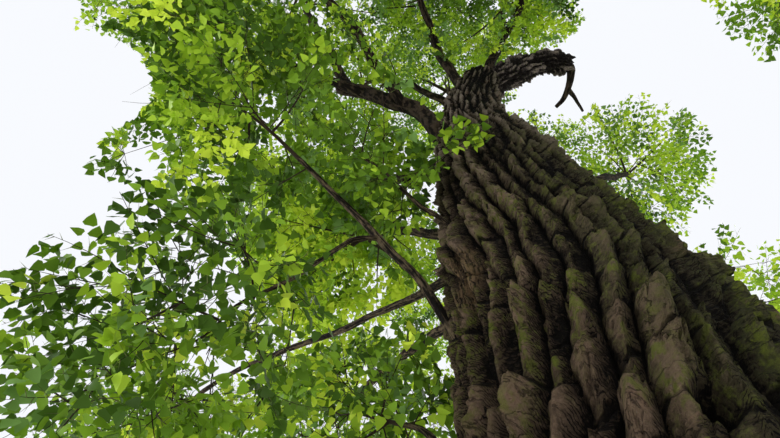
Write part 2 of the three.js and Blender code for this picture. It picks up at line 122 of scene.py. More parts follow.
# Bark relief. The grain turns round the trunk by so many degrees at these heights. Over the
# heights of UPPER_BARK the plates grow longer, wavier and shallower, with lower steps.
GRAIN_HEIGHTS = (0, 1.4, 2.4, 3.8, 4.3, 5.0, 6.2, 8.0, 11.42)
GRAIN_TURNS = (-50, -37, -22, 3, 3, -6, -14, -17, -10)
UPPER_BARK = (2.5, 9.0)
PLATE_TILT = 0.5
PLATE_FULLNESS = 1.25
SIDE_SHARPNESS = 5
PLATE_STRETCH = 6.2
PLATE_JITTER = 0.5
CROSS_CRACKS = 0.62
CREST_SHARE = 0.1
CREST_PLACE = 0.46
CREST_SPREAD = 0.4
WARP = 0.27
UPPER_WARP = 1.6
UPPER_LENGTH = 0.4
UPPER_DEPTH = 0.3
NOTCH = 0.34
NOTCH_WIDTH = 0.09
BLOCK_LENGTH = 0.34
BLOCK_STEP = 0.24
BLOCK_TILT = 0.26
BLOCK_GROOVE = 0.3
UPPER_BLOCKS = 0.45
FACET_TILT = 1.3
FACET_DRAWS = (1, 57.3, 131.7, 211.9, 307.1, 401.3, 509.7)
LOWER_CROWDING = 0.7
LUMP_SHARE = 0.04
COLLAR_RELIEF = 0.85
CHUNKS = {"size": (9.0, 9.0, 1.7), "share": 0.17}
CHIPS = {"size": (26.0, 26.0, 8.0), "share": 0.11}
KNOT_HOLE = {"height": 2.68, "bearing": -102, "size": 0.062, "depth": 0.19, "collar": 1.7,
             "height_share": 0.6}
SCAR = {"height": 4.2, "bearing": -156, "wide": 0.2, "tall": 0.42}
LEDGE = {"height": 4.72, "bearing": -163, "size": 0.12, "spread": 0.2}

# Noises laid over each other, as the scale, offset and share of each: how the plates' edges
# wave, how far cracks across the plates shift, and the lumps on the plates
PLATE_WAVES = (((1.3, 1.3, 1.0), 0, 1), (4.3, 31, 0.4), (11, 3, 0.2), (27, 9, 0.16))
BLOCK_WAVES = ((3.1, 57, 0.4), (13, 5, 0.1))
LUMPS = (((9, 9, 7), 13, 1), ((21, 21, 25), 5, 0.6))

# Boughs, as in the solids
LIMB_STEPS = 5
LIMB_INSET = 0.6
LIMB_TAPER = 0.85
TRUNK_COLLAR = 0.45
FORK_COLLAR = 0.1
DEAD_COLLAR = 0.1
COLLAR_FADE = 14
CROOKEDNESS = 0.012

# Boughs' meshes and bark, which the solids leave plainer
BOUGH_SWAY = 0.75
LEAST_RINGS = 8
SCALE_COLUMNS = 18
SCALE_STRETCH = 5.5
BROKEN_RINGS = 5
BROKEN_HOLLOW = 0.12
CROOK_SIDES = 20
CROOK_GAP = 0.03

# Foliage, as in the solids
GAP = 0.0003
TIP_TO_CENTRE = 0.7
STEM_THICKNESS = 0.92
STEM_TAPER = 0.75
STEM_REACH = 0.95
STEM_STEPS = 3
STEM_SWAY = 0.06
STEM_FORKS = (0.5, 0.9)
CANDIDATES = 14
TWIG_REACH = 0.66
PATH_WEIGHT = 0.35
SPACE_MARGIN = 0.012
TRUNK_CLEARANCE = 0.07
TWIG_CLEARANCE = 0.045
TWIG_FORKS = (0.35, 0.55, 0.75)
TWIG_THICKNESS = 0.85
TWIG_FREE = 0.3
SPRAY_PLACES = (0.88, 0.66, 0.42)
SPRAY_SPLAY = (0.0, 0.85, 0.95)
SPRAY_ONWARD = 0.4
SPRAY_OUTWARD = 0.55
SPRAY_SIZE = 1.24
SPRAY_WIDTH = 0.66
SPRAY_THICKNESS = 0.06
SPRAY_SHOULDER = 0.38
SPRAY_TRIES = (1, 1, 0.9, 0.9, 0.78, 0.78, 0.66, 0.66, 0.54, 0.42)
SPRAY_NEARNESS = 0.16
SPRAY_BARE = 0.3
THINNEST_TWIG = 0.009

# Finer growth, which the solids leave out
FINE_CLOUD = 900
FINE_REACH = 0.9
FINE_SPRAY_SHARE = 0.56
FINE_SPLAY = 0.9
FINE_OUTWARD = 0.4
FINE_END = 0.92
FINE_FREE = 0.5
FINE_RADIUS = 0.5
POCKET_END = 0.95
SHORTEST_SPRAY = 0.2
SPRAY_SHRINKING = 0.8
BOUGH_FORKS = (0.5, 0.64, 0.76, 0.86, 0.95)
BOUGH_FORK_THICKNESS = 0.6
BOX_MARGIN = 0.3
THINNEST_BRANCHLET = 0.005
TWIG_BOW = 0.16
TWIG_TIP = 0.3
RIB_BOW = 0.07
RIB_POINTS = 5
RIB_THICKNESS = 0.0055
SHOOT_RADIUS = 0.0025
LEAST_SHOOTS = 3
SHORTEST_SHOOT = 0.05
END_SHOOT = 0.1
PETIOLE = 0.035

# Sprays on a finer twig, and on one that ends in a pocket: the part along it and how far they splay
FINE_SPRAYS = ((1.0, 0.0), (0.72, 1.0), (0.5, 1.0), (0.3, 1.0))
POCKET_SPRAYS = ((1.0, 0.0), (1.0, 1.0), (1.0, 1.0), (1.0, 2.0), (1.0, 2.0), (1.0, 2.0), (1.0, 2.0))

# Points along and sides of the mesh of a stem, a twig, a finer twig and a spray's rib
STEM_MESH = (13, 9)
TWIG_MESH = (8, 6)
FINE_MESH = (6, 4)
RIB_SIDES = 3

# Each bough: its start (height and bearing on the trunk, or its parent and the part along it),
# heading and rise as it leaves, tip (bearing, distance out, height), heading and rise as it
# arrives, and its radii at both ends.
LIMBS = (
    ("great_left_bough", (8.05, 150), (-118, 60), (190.6, 2.116, 10.23), (-178, 32), (0.14, 0.108)),
    ("great_left_upper", ("great_left_bough", 0.93), (-127, 56), (207.1, 3.314, 12.65), (-129, 61),
     (0.092, 0.062)),
    ("left_bough", ("great_left_bough", 0.8), (-165, 12), (195.5, 3.736, 10.9), (-160, 30),
     (0.088, 0.058)),
    ("front_left_low_bough", ("great_left_bough", 0.5), (-128, 12), (223.2, 4.528, 9.9), (-135, -5),
     (0.08, 0.052)),
    ("low_left_bough", (3.65, 160), (-154, 58), (193.8, 2.142, 6.07), (-157, 46), (0.042, 0.024)),
    ("near_left_shoot", ("low_left_bough", 0.56), (-165, -6), (188.6, 1.99, 4.18), (-165, -46),
     (0.02, 0.014)),
    ("side_left_bough", (4.6, 196, 0.85), (106, 40), (140.5, 5.576, 6.45), (122, -1), (0.036, 0.027)),
    ("trunk_left_shoot", (5.15, 196, 0.8), (198, 45), (197.2, 1.17, 5.75), (200, 66), (0.026, 0.017)),
    ("low_shoot", (3.15, 166, 0.8), (158, 40), (151.8, 1.306, 3.93), (140, 32), (0.03, 0.018)),
    ("fork_left_leader", (10.75, 118, 0.45), (-136, 58), (256.3, 1.431, 15.03), (-103, 72),
     (0.104, 0.064)),
    ("front_left_bough", ("fork_left_leader", 0.4), (-112, 32), (251.6, 3.795, 12.9), (-108, 2),
     (0.078, 0.052)),
    ("front_low_bough", ("front_left_bough", 0.7), (-80, -14), (267.7, 4.904, 11.1), (-62, -40),
     (0.056, 0.04)),
    ("fork_middle_leader", (11.05, 45, 0.4), (-66, 57), (-45, 1.838, 13.6), (-75, 62), (0.112, 0.07)),
    ("front_right_bough", ("fork_middle_leader", 0.62), (-50, 26), (-54, 4.08, 12.95), (-58, -6),
     (0.08, 0.052)),
    ("right_bough", ("front_right_bough", 0.6), (-22, 0), (-29, 5.374, 10.9), (-15, -42),
     (0.06, 0.042)),
    ("dead_limb", (10.98, 20, 0.3), (-20, 36), (-12.4, 2.46, 11.99), (12, -8), (0.262, 0.205)),
    ("dead_crook", ("dead_limb", 0.95), (0, -10), (8, 2.25, 11.87), (150, -10), (0.104, 0.038)),
    ("dead_prong", ("dead_crook", 0.6), (40, 8), (8.7, 2.903, 12.06), (50, 14), (0.052, 0.026)),
    ("back_leader", (10.85, 80, 0.45), (82, 66), (59, 1.166, 16.4), (110, 84), (0.2, 0.096)),
    ("top_back_bough", ("back_leader", 0.4), (52, 34), (50.2, 3.124, 14.6), (56, 22),
     (0.092, 0.058)),
    ("back_bough", (7.25, 86), (86, 44), (80.5, 3.65, 10.6), (85, 50), (0.132, 0.074)),
    ("back_left_bough", (8.45, 138), (126, 44), (136.3, 3.041, 11.4), (135, 45), (0.112, 0.066)),
    ("low_back_left_bough", (5.0, 128), (120, 38), (116.6, 3.801, 6.9), (110, 25), (0.062, 0.042)),
    ("low_back_bough", (5.5, 78), (80, 30), (77, 4.002, 7.0), (78, 20), (0.09, 0.052)),
    ("mid_left_bough", (6.0, 150), (140, 34), (140.5, 1.84, 7.75), (134, 32), (0.07, 0.046)),
    ("upper_back_left_bough", ("back_leader", 0.3), (168, 34), (168.2, 1.124, 14.14), (160, 36),
     (0.096, 0.06)),
    ("right_back_bough", (6.65, 22), (12, 42), (21.5, 3.547, 10.5), (42, 58), (0.058, 0.04)),
    ("right_back_low_bough", (6.1, 50), (44, 32), (37.1, 4.14, 7.5), (38, 20), (0.106, 0.058)),
    ("right_low_bough", (3.95, 24), (22, 17), (2.9, 3.905, 5.4), (-12, 25), (0.104, 0.056)),
)

# Each mass: its bough, half its length, half its width, its twigs, and its mix of leaf shades
MASSES = (
    ("near_left", "near_left_shoot", 0.9, 0.85, 5, "low"),
    ("low_left", "low_left_bough", 2.0, 1.35, 6, "low"),
    ("trunk_left", "trunk_left_shoot", 1.25, 0.88, 5, "shaded"),
    ("inner_left", "low_shoot", 0.85, 0.7, 4, "low"),
    ("side_left", "side_left_bough", 1.8, 1.6, 5, "low"),
    ("left", "left_bough", 2.3, 2.05, 6, "bright"),
    ("upper_left", "great_left_upper", 2.6, 2.4, 6, "high"),
    ("front_left_low", "front_left_low_bough", 2.5, 2.35, 5, "bright"),
    ("top_left", "fork_left_leader", 2.5, 2.25, 6, "high"),
    ("front_left", "front_left_bough", 2.6, 2.4, 6, "high"),
    ("front_low", "front_low_bough", 2.4, 2.2, 5, "high"),
    ("top_front", "fork_middle_leader", 2.35, 2.15, 6, "high"),
    ("front_right", "front_right_bough", 2.6, 2.4, 6, "high"),
    ("right", "right_bough", 2.3, 2.1, 5, "sunny"),
    ("top", "back_leader", 2.7, 2.5, 6, "high"),
    ("top_back", "top_back_bough", 2.6, 2.45, 6, "high"),
    ("back", "back_bough", 2.6, 2.4, 6, "bright"),
    ("back_left", "back_left_bough", 2.5, 2.35, 6, "sunny"),
    ("low_back_left", "low_back_left_bough", 2.3, 2.1, 6, "sunny"),
    ("low_back", "low_back_bough", 2.2, 2.05, 5, "bright"),
    ("mid_left", "mid_left_bough", 1.7, 1.6, 5, "sunny"),
    ("upper_back_left", "upper_back_left_bough", 2.4, 2.2, 6, "high"),
    ("right_back", "right_back_bough", 2.0, 1.75, 6, "bright"),
    ("right_back_low", "right_back_low_bough", 2.2, 2.05, 5, "sunny"),
    ("right_low", "right_low_bough", 2.1, 1.95, 5, "sunny"),
)

# Where the photograph was taken from, and the gaps it shows in the crown, before the great left
# bough and before the side left bough, as cones from there (heading, rise, half their angle, reach)
VIEWPOINT = (-1.218, -2.068, 1.5)
OPENINGS = (
    (162.5, 59.0, 4.5, 60),
    (160.4, 52.7, 5.2, 60),
    (171.8, 54.4, 4.0, 60),
    (75.3, 74.7, 1.6, 7.2),
    (80.4, 76.5, 1.8, 7.5),
    (86.9, 77.5, 1.8, 7.7),
    (95.4, 78.0, 1.8, 7.9),
    (102.9, 78.0, 1.7, 8.1),
    (110.6, 78.0, 1.5, 8.3),
    (98.0, 51.9, 1.2, 5.2),
    (101.5, 50.7, 1.2, 5.45),
    (104.9, 49.4, 1.2, 5.75),
    (108.2, 47.9, 1.2, 6.05),
    (111.4, 46.3, 1.2, 6.35),
    (114.2, 44.5, 1.1, 6.7),
    (116.2, 42.7, 1.1, 7.05),
)

# Small pockets of leaves beside a mass: its name, the pocket's place and its radius
POCKETS = (
    ("trunk_left", (-0.52, -0.73, 5.96), 0.3),
    ("low_left", (-3.94, -0.48, 6.28), 0.36),
    ("inner_left", (-1.1, 0.32, 4.38), 0.27),
    ("inner_left", (-0.93, 0.7, 4.08), 0.36),
    ("front_left_low", (-1.41, -0.95, 8.95), 0.4),
    ("front_left_low", (-1.7, -1.28, 9.05), 0.42),
    ("front_left_low", (-2.05, -1.78, 9.2), 0.45),
    ("top_left", (-0.2, -0.74, 11.9), 0.4),
    ("top_left", (-0.3, -0.95, 12.7), 0.5),
    ("top_left", (-0.36, -1.2, 13.6), 0.55),
    ("top_front", (0.98, -0.92, 12.05), 0.4),
    ("top_front", (1.14, -1.14, 12.6), 0.5),
    ("top_front", (1.22, -1.36, 13.1), 0.5),
)

# Masses whose leaves differ: how large they are, and how crowded; and those seen from close by
LEAF_MANNERS = {
    "near_left": (0.74, 1.45),
    "low_left": (0.95, 1.42),
    "trunk_left": (0.95, 1.3),
    "inner_left": (0.85, 1.4),
    "side_left": (0.95, 1.2),
    "left": (1.05, 0.85),
    "mid_left": (1.15, 1.35),
    "back_left": (1.1, 1.15),
    "low_back_left": (1.05, 1.1),
    "right": (1.0, 1.15),
    "top_left": (1.0, 1.35),
    "front_left": (1.05, 1.15),
    "front_low": (1.1, 1.2),
    "top_front": (1.0, 1.3),
    "front_right": (1.0, 1.3),
    "right_low": (1.0, 1.15),
}
CLOSE_MASSES = ("near_left", "low_left", "trunk_left", "inner_left", "side_left")

# How often a spray takes each leaf shade, in the order of LEAF_SHADES. Besides the leaves' own
# differences, the shades are painted light and shade: lit, pale and bright stand for light shining
# through leaves, middle and dark for leaves in shade, and bluish for sky light on the high crown. The
# sunny and shaded mixes give a mass more of the lit or more of the shaded leaves.
SHADE_MIXES = {
    "low": (0.08, 0.17, 0.22, 0.26, 0.22, 0.05),
    "shaded": (0.0, 0.14, 0.34, 0.36, 0.1, 0.06),
    "bright": (0.18, 0.34, 0.24, 0.12, 0.06, 0.06),
    "high": (0.16, 0.3, 0.2, 0.12, 0.06, 0.16),
    "sunny": (0.4, 0.34, 0.14, 0.07, 0.0, 0.05),
}
LEAF_SHADES = ("lit", "pale", "bright", "middle", "dark", "bluish")

# Stage
SENSOR_WIDTH = 36.0
VIEW_END = 1000.0
LAMP_SPREAD = 25
FLOOR_SIDES = 96

# Roughness of the plain finishes
ROUGHNESS = {"twig_bark": 0.8, "green_bark": 0.6, "leaf": 0.5, "floor": 0.9}


# Settings that a user can change
def colour_setting(name, description, default):
    return FloatVectorProperty(
        name=name, description=description, default=default, size=3, subtype="COLOR")


def length_setting(name, description, default):
    return FloatProperty(name=name, description=description, default=default, unit="LENGTH")


def count_setting(name, description, default, least):
    return IntProperty(name=name, description=description, default=default, min=least)


def bearing_setting(name, default):
    return FloatVectorProperty(
        name=name, description="Bearing and rise in degrees", default=default, size=2)


class TrunkSettings(PropertyGroup):
    """Sizes and colours of the trunk's bark"""

    columns: count_setting("Columns", "Mesh columns round the trunk", 612, 64)
    lower_rows: count_setting("Lower rows", "Mesh rows below the split", 155, 16)
    upper_rows: count_setting("Upper rows", "Mesh rows in each piece above it", 90, 16)
    split_height: length_setting("Split", "Height where the finer bark ends", 4.6)
    plates: count_setting("Plates", "Bark plates round the trunk", 35, 5)
    depth: length_setting("Furrow depth", "From a crest to the furrow's floor", 0.18)
    crest: colour_setting("Crest", "Colour of the plates' crests", (0.235, 0.158, 0.104))
    # Crests turn to this paler colour from 3 m up to 9 m.
    high_crest: colour_setting("Weathered", "Colour of the crests high up", (0.27, 0.215, 0.175))
    # The flank colour is partly painted shade. The furrow colour is painted shade deep in the furrows
    # and in the knot hole.
    flank: colour_setting("Flank", "Colour of the plates' flanks", (0.072, 0.048, 0.032))
    furrow: colour_setting("Furrow", "Colour deep in the furrows", (0.0052, 0.0038, 0.0027))
    flake: colour_setting("Flake", "Colour of freshly broken flakes", (0.26, 0.16, 0.105))
    rotten: colour_setting("Rotten", "Colour of the rotten wood under the ledge", (0.21, 0.135, 0.07))
    fleck: colour_setting("Fleck", "Colour of the pale flecks on the crests", (0.3, 0.28, 0.23))
    film: colour_setting("Film", "Colour of the thin green film on the +X side", (0.044, 0.054, 0.02))
    moss: colour_setting("Moss", "Colour of the moss on the plates' edges", (0.14, 0.165, 0.024))


class BoughSettings(PropertyGroup):
    """Sizes and colours of the boughs and the dead wood"""

    sides: count_setting("Sides", "Mesh columns round a bough", 26, 6)
    ring_gap: length_setting("Ring gap", "Way between two rings of a bough", 0.05)
    dead_sides: count_setting("Dead sides", "Mesh columns round the dead limb", 72, 6)
    dead_gap: length_setting("Dead ring gap", "Way between two rings of the dead limb", 0.022)
    # The crest colour is darkened as painted shade of the crown, and the lighter colour of the lowest
    # boughs' crests is painted light: shaded and lit copies of one bark. The flank colours are painted
    # shade between the boughs' ridges and between the dead limb's scales.
    crest: colour_setting("Crest", "Colour of the boughs' bark", (0.055, 0.039, 0.026))
    lit_low_crest: colour_setting("Low crest", "Colour of the lowest boughs' bark", (0.125, 0.092, 0.055))
    flank: colour_setting("Flank", "Colour between the bark's crests", (0.007, 0.005, 0.0035))
    dead_crest: colour_setting("Dead crest", "Colour of the dead limb's scales", (0.24, 0.195, 0.17))
    dead_flank: colour_setting(
        "Dead flank", "Colour between the dead limb's scales", (0.008, 0.006, 0.005))


class LeafSettings(PropertyGroup):
    """Sizes and colours of the twigs and leaves"""

    leaf_length: length_setting("Leaf length", "Length of a full leaf's blade", 0.095)
    shoot_gap: length_setting("Shoot gap", "Way along a spray's rib between two shoots", 0.085)
    leaf_gap: length_setting("Leaf gap", "Way along a shoot between two leaves", 0.05)
    fine_twigs: count_setting("Fine twigs", "Finer twigs grown in each mass", 36, 0)
    # The leaf shades are painted light and shade as well as the leaves' own colour: lit, pale and bright
    # stand for light shining through leaves, middle and dark for leaves in shade, and bluish for sky
    # light on the high crown.
    lit: colour_setting("Lit", "Shade of leaves with the light behind them", (0.62, 0.78, 0.06))
    pale: colour_setting("Pale", "Palest leaf shade", (0.38, 0.57, 0.035))
    bright: colour_setting("Bright", "Bright leaf shade", (0.2, 0.36, 0.022))
    middle: colour_setting("Middle", "Middle leaf shade", (0.115, 0.225, 0.016))
    dark: colour_setting("Dark", "Darkest leaf shade", (0.06, 0.13, 0.012))
    bluish: colour_setting("Bluish", "Bluest leaf shade", (0.17, 0.31, 0.07))
    twig_bark: colour_setting("Twig bark", "Colour of the twigs", (0.032, 0.021, 0.014))
    green_bark: colour_setting("Green bark", "Colour of the youngest shoots", (0.16, 0.19, 0.06))


class StageSettings(PropertyGroup):
    """The camera, the floor and the light"""

    camera_place: FloatVectorProperty(
        name="Camera", description="Place of the camera", default=VIEWPOINT, size=3,
        subtype="TRANSLATION", unit="LENGTH")
    camera_pitch: FloatProperty(
        name="Pitch", description="How far the camera looks up", default=math.radians(64.452),
        subtype="ANGLE")
    lens: FloatProperty(name="Lens", description="Focal length in millimetres", default=23.08)
    floor_radius: length_setting("Floor", "Radius of the floor", 400.0)
    floor_colour: colour_setting("Floor colour", "Colour of the floor", (0.8, 0.79, 0.77))
    air_colour: colour_setting("Background", "Colour of the soft light all round", (0.94, 0.96, 1.0))
    air_strength: FloatProperty(name="Background strength", description="Its strength", default=1.0)
    high_strength: FloatProperty(name="High lamp", description="Its strength", default=2.6)
    high_place: bearing_setting("High lamp's place", (52, 55))
    side_strength: FloatProperty(name="Side lamp", description="Its strength", default=1.4)
    side_place: bearing_setting("Side lamp's place", (186, 24))


# Seeded numbers from 0 to 1, the same on every run
class Dice:
    """The solids' own seeded numbers, drawn in the same order"""

    def __init__(self, seed):
        self.state = seed
        for _ in range(DICE_WARMING):
            self.next()

    def next(self):
        self.state = (self.state * DICE_FACTOR + DICE_STEP) % DICE_RANGE
        return self.state / DICE_RANGE

    def between(self, low, high):
        return low + (high - low) * self.next()

    def stray(self):
        return np.array([self.between(-1, 1), self.between(-1, 1), self.between(-1, 1)])


def unit(vectors):
    """Vectors of length 1 along the given ones."""
    return vectors / np.maximum(np.linalg.norm(vectors, axis=-1, keepdims=True), 1e-9)


def direction(heading, rise):
    """The unit vector of a heading and a rise in degrees, numbers or arrays."""
    heading, rise = np.radians(heading), np.radians(rise)
    level = np.cos(rise)
    return np.stack(np.broadcast_arrays(level * np.cos(heading), level * np.sin(heading),
                                        np.sin(rise)), axis=-1)


def polar(bearing, out, height):
    return direction(bearing, 0) * out + UP * height


def hashed(*numbers):
    """Even numbers from 0 to 1, one for each set of whole numbers."""
    mixed = np.int64(RANDOM_START)
    for number in numbers:
        mixed = ((mixed ^ np.asarray(number, np.int64)) * HASH_FACTOR) & HASH_BITS
        mixed = mixed ^ (mixed >> 15)
    return (mixed & HASH_SHARE) / (HASH_SHARE + 1)


def noise(points):
    """Smooth noise from -1 to 1 at an array of points."""
    cell = np.floor(points)
    part = points - cell
    ease = part * part * (3 - 2 * part)
    cell = cell.astype(np.int64)
    total = 0
    for corner in np.ndindex(2, 2, 2):
        weight = np.prod(np.where(corner, ease, 1 - ease), axis=-1)
        total = total + weight * hashed(*np.moveaxis(cell + corner, -1, 0))
    return 2 * total - 1


def layered(points, layers, start=0):
    """Noises laid over each other, and over what is there at the start."""
    return sum((share * noise(points * scale + offset) for scale, offset, share in layers), start)


def sideways(points, offsets):
    """A smooth shift for each point, from a noise for each axis."""
    return np.stack([noise(points + offset) for offset in offsets], -1)


def facets(points):
    """Flat facets with steps between them, each at its own height and tilt, about -1 to 1."""
    cell = np.floor(points).astype(np.int64)
    least = np.full(points.shape[:-1], np.inf)
    height = np.zeros(points.shape[:-1])
    for step in np.ndindex(3, 3, 3):
        near = cell + step - 1
        drawn = hashed(*np.moveaxis(near, -1, 0))[..., None] * FACET_DRAWS % 1
        offset = points - near - drawn[..., :3]
        away = (offset ** 2).sum(axis=-1)
        own = 2 * drawn[..., 6] - 1 + FACET_TILT * (offset * (2 * drawn[..., 3:6] - 1)).sum(axis=-1)
        height = np.where(away < least, own, height)
        least = np.minimum(away, least)
    return height


def smooth(value, low, high):
    """0 below low, 1 above high, and a smooth step between."""
    part = np.clip((value - low) / (high - low), 0, 1)
    return part * part * (3 - 2 * part)


# Meshes
def piece(name, corners, faces, materials, nodes, shades=None, normals=None, marks=None):
    """A dressed piece at the origin from arrays of corners and faces, riding on the tree.

    The marks are named numbers, one for each corner, that its finish reads.
    """
    mesh = bpy.data.meshes.new(name)
    mesh.vertices.add(len(corners))
    mesh.vertices.foreach_set("co", corners.astype(np.float32).ravel())
    mesh.loops.add(faces.size)
    mesh.loops.foreach_set("vertex_index", faces.astype(np.int32).ravel())
    mesh.polygons.add(len(faces))
    mesh.polygons.foreach_set("loop_start", np.arange(0, faces.size, faces.shape[1], dtype=np.int32))
    if shades is not None:
        mesh.polygons.foreach_set("material_index", shades.astype(np.int32))
    mesh.polygons.foreach_set("use_smooth", np.ones(len(faces), dtype=bool))
    for material in materials:
        mesh.materials.append(material)
    for mark, values in (marks or {}).items():
        mesh.attributes.new(mark, "FLOAT", "POINT")
        mesh.attributes[mark].data.foreach_set("value", values.astype(np.float32).ravel())
    mesh.update(calc_edges=True)
    if normals is not None:
        mesh.normals_split_custom_set_from_vertices(normals.astype(np.float32))
    made = bpy.data.objects.new(name, mesh)
    bpy.context.scene.collection.objects.link(made)
    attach(made, BODY)
    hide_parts(*nodes)


def sheet_faces(rows, columns):
    """Triangles of a sheet wrapped round on its columns."""
    low = np.arange(rows - 1)[:, None] * columns + np.arange(columns)
    right = np.arange(rows - 1)[:, None] * columns + (np.arange(columns) + 1) % columns
    return np.concatenate([
        np.stack([low, right, right + columns], -1).reshape(-1, 3),
        np.stack([low, right + columns, low + columns], -1).reshape(-1, 3)])


def cap_faces(ring, middle, up):
    """Triangles from a ring of corners, given by number, to a middle one."""
    after = np.roll(ring, -1)
    fan = (ring, after) if up else (after, ring)
    return np.stack([*fan, np.full_like(ring, middle)], -1)


def sheet_normals(grid):
    """Outward normals of a wrapped grid of points."""
    around = np.roll(grid, -1, axis=1) - np.roll(grid, 1, axis=1)
    along = np.gradient(grid, axis=0)
    return unit(np.cross(around, along))


def spokes(ways, sides):
    """Unit vectors all round each way, one for each side of a tube."""
    side = unit(np.cross(ways, np.where(np.abs(ways[:, 2:]) < UPRIGHT, UP, ASIDE)))
    other = np.cross(ways, side)
    turn = 2 * np.pi * np.arange(sides) / sides
    return np.cos(turn)[:, None] * side[:, None] + np.sin(turn)[:, None] * other[:, None]


def tubes(paths, radii, sides):
    """Corners and triangles of many tubes at once, along paths of as many points each."""
    count, steps = radii.shape
    around = spokes(unit(paths[:, -1] - paths[:, 0]), sides)
    corners = paths[:, :, None] + radii[:, :, None, None] * around[:, None]
    faces = sheet_faces(steps, sides) + np.arange(count)[:, None, None] * (steps * sides)
    return corners.reshape(-1, 3), faces.reshape(-1, 3)


def spikes(starts, ends, radius):
    """Three-sided spikes from starts to ends."""
    around = spokes(unit(ends - starts), 3)
    corners = np.concatenate([starts[:, None] + radius * around, ends[:, None]], axis=1)
    faces = np.array([(0, 1, 3), (1, 2, 3), (2, 0, 3)]) + 4 * np.arange(len(starts))[:, None, None]
    return corners.reshape(-1, 3), faces.reshape(-1, 3)


def joined(parts):
    """Many sets of corners, faces and further arrays put together as one."""
    starts = np.cumsum([0] + [len(part[0]) for part in parts[:-1]])
    corners = np.concatenate([part[0] for part in parts])
    faces = np.concatenate([part[1] + start for part, start in zip(parts, starts)])
    rest = [np.concatenate(group) for group in zip(*[part[2:] for part in parts])]
    return (corners, faces, *rest)


# Shader building
class Wire:
    """A value in a shader; sums written on it add its Math nodes"""

    def __init__(self, finish, socket):
        self.finish = finish
        self.socket = socket

    def reckon(self, operation, *values):
        return self.finish.add("ShaderNodeMath", {"operation": operation}, dict(enumerate(values)))

    def __add__(self, other):
        return self.reckon("ADD", self, other)

    def __sub__(self, other):
        return self.reckon("SUBTRACT", self, other)

    def __rsub__(self, other):
        return self.reckon("SUBTRACT", other, self)

    def __mul__(self, other):
        return self.reckon("MULTIPLY", self, other)

    __radd__ = __add__
    __rmul__ = __mul__

    def size(self):
        return self.reckon("ABSOLUTE", self)

    def fraction(self):
        return self.reckon("FRACT", self)

    def step(self, low, high):
        """0 below low, 1 above high, and a smooth step between."""
        return self.finish.add(
            "ShaderNodeMapRange", {"interpolation_type": "SMOOTHSTEP", "clamp": True},
            {"Value": self, "From Min": low, "From Max": high})


class Finish:
    """A material under construction"""

    def __init__(self, name):
        self.material = bpy.data.materials.new(name)
        self.material.use_nodes = True
        self.tree = self.material.node_tree
        self.shader = self.tree.nodes["Principled BSDF"]

    def add(self, kind, settings=None, inputs=None, output=0):
        """Adds a node with its settings first, then its values or links; gives one output."""
        node = self.tree.nodes.new(kind)
        for setting, value in (settings or {}).items():
            setattr(node, setting, value)
        for socket, value in (inputs or {}).items():
            self.join(node.inputs[socket], value)
        return Wire(self, node.outputs[output])

    def join(self, socket, value):
        if isinstance(value, Wire):
            self.tree.links.new(value.socket, socket)
        else:
            socket.default_value = value

    def shade(self, **inputs):
        """Sets or links the shader's sockets, named with _ for a space."""
        for socket, value in inputs.items():
            self.join(self.shader.inputs[socket.replace("_", " ")], value)

    def blend(self, first, second, factor):
        """A colour between two, by a factor."""
        return self.add("ShaderNodeMix", {"data_type": "RGBA"}, {0: factor, 6: first, 7: second}, 2)

    def stretched(self, vector, stretch):
        return self.add("ShaderNodeVectorMath", {"operation": "MULTIPLY"}, {0: vector, 1: stretch})

    def place(self):
        """The object's own coordinates."""
        return self.add("ShaderNodeTexCoord", output="Object")

    def mark(self, name):
        """A number that the mesh holds for each corner."""
        return self.add("ShaderNodeAttribute", {"attribute_name": name}, output="Fac")

    def axis(self, vector, name):
        """One coordinate of a vector."""
        return self.add("ShaderNodeSeparateXYZ", None, {0: vector}, name)

    def noise(self, place, scale, detail, roughness=0.55):
        return self.add("ShaderNodeTexNoise", {"noise_dimensions": "3D"},
                        {"Vector": place, "Scale": scale, "Detail": detail, "Roughness": roughness})

    def grain(self, place, stretch, detail, roughness=0.55):
        """Noise whose scale differs along each axis."""
        return self.noise(self.stretched(place, stretch), 1.0, detail, roughness)

    def bump(self, height, distance, strength):
        return self.add("ShaderNodeBump", None,
                        {"Height": height, "Distance": distance, "Strength": strength})


def colour(value):
    """An RGBA colour from a setting."""
    return (*value, 1.0)


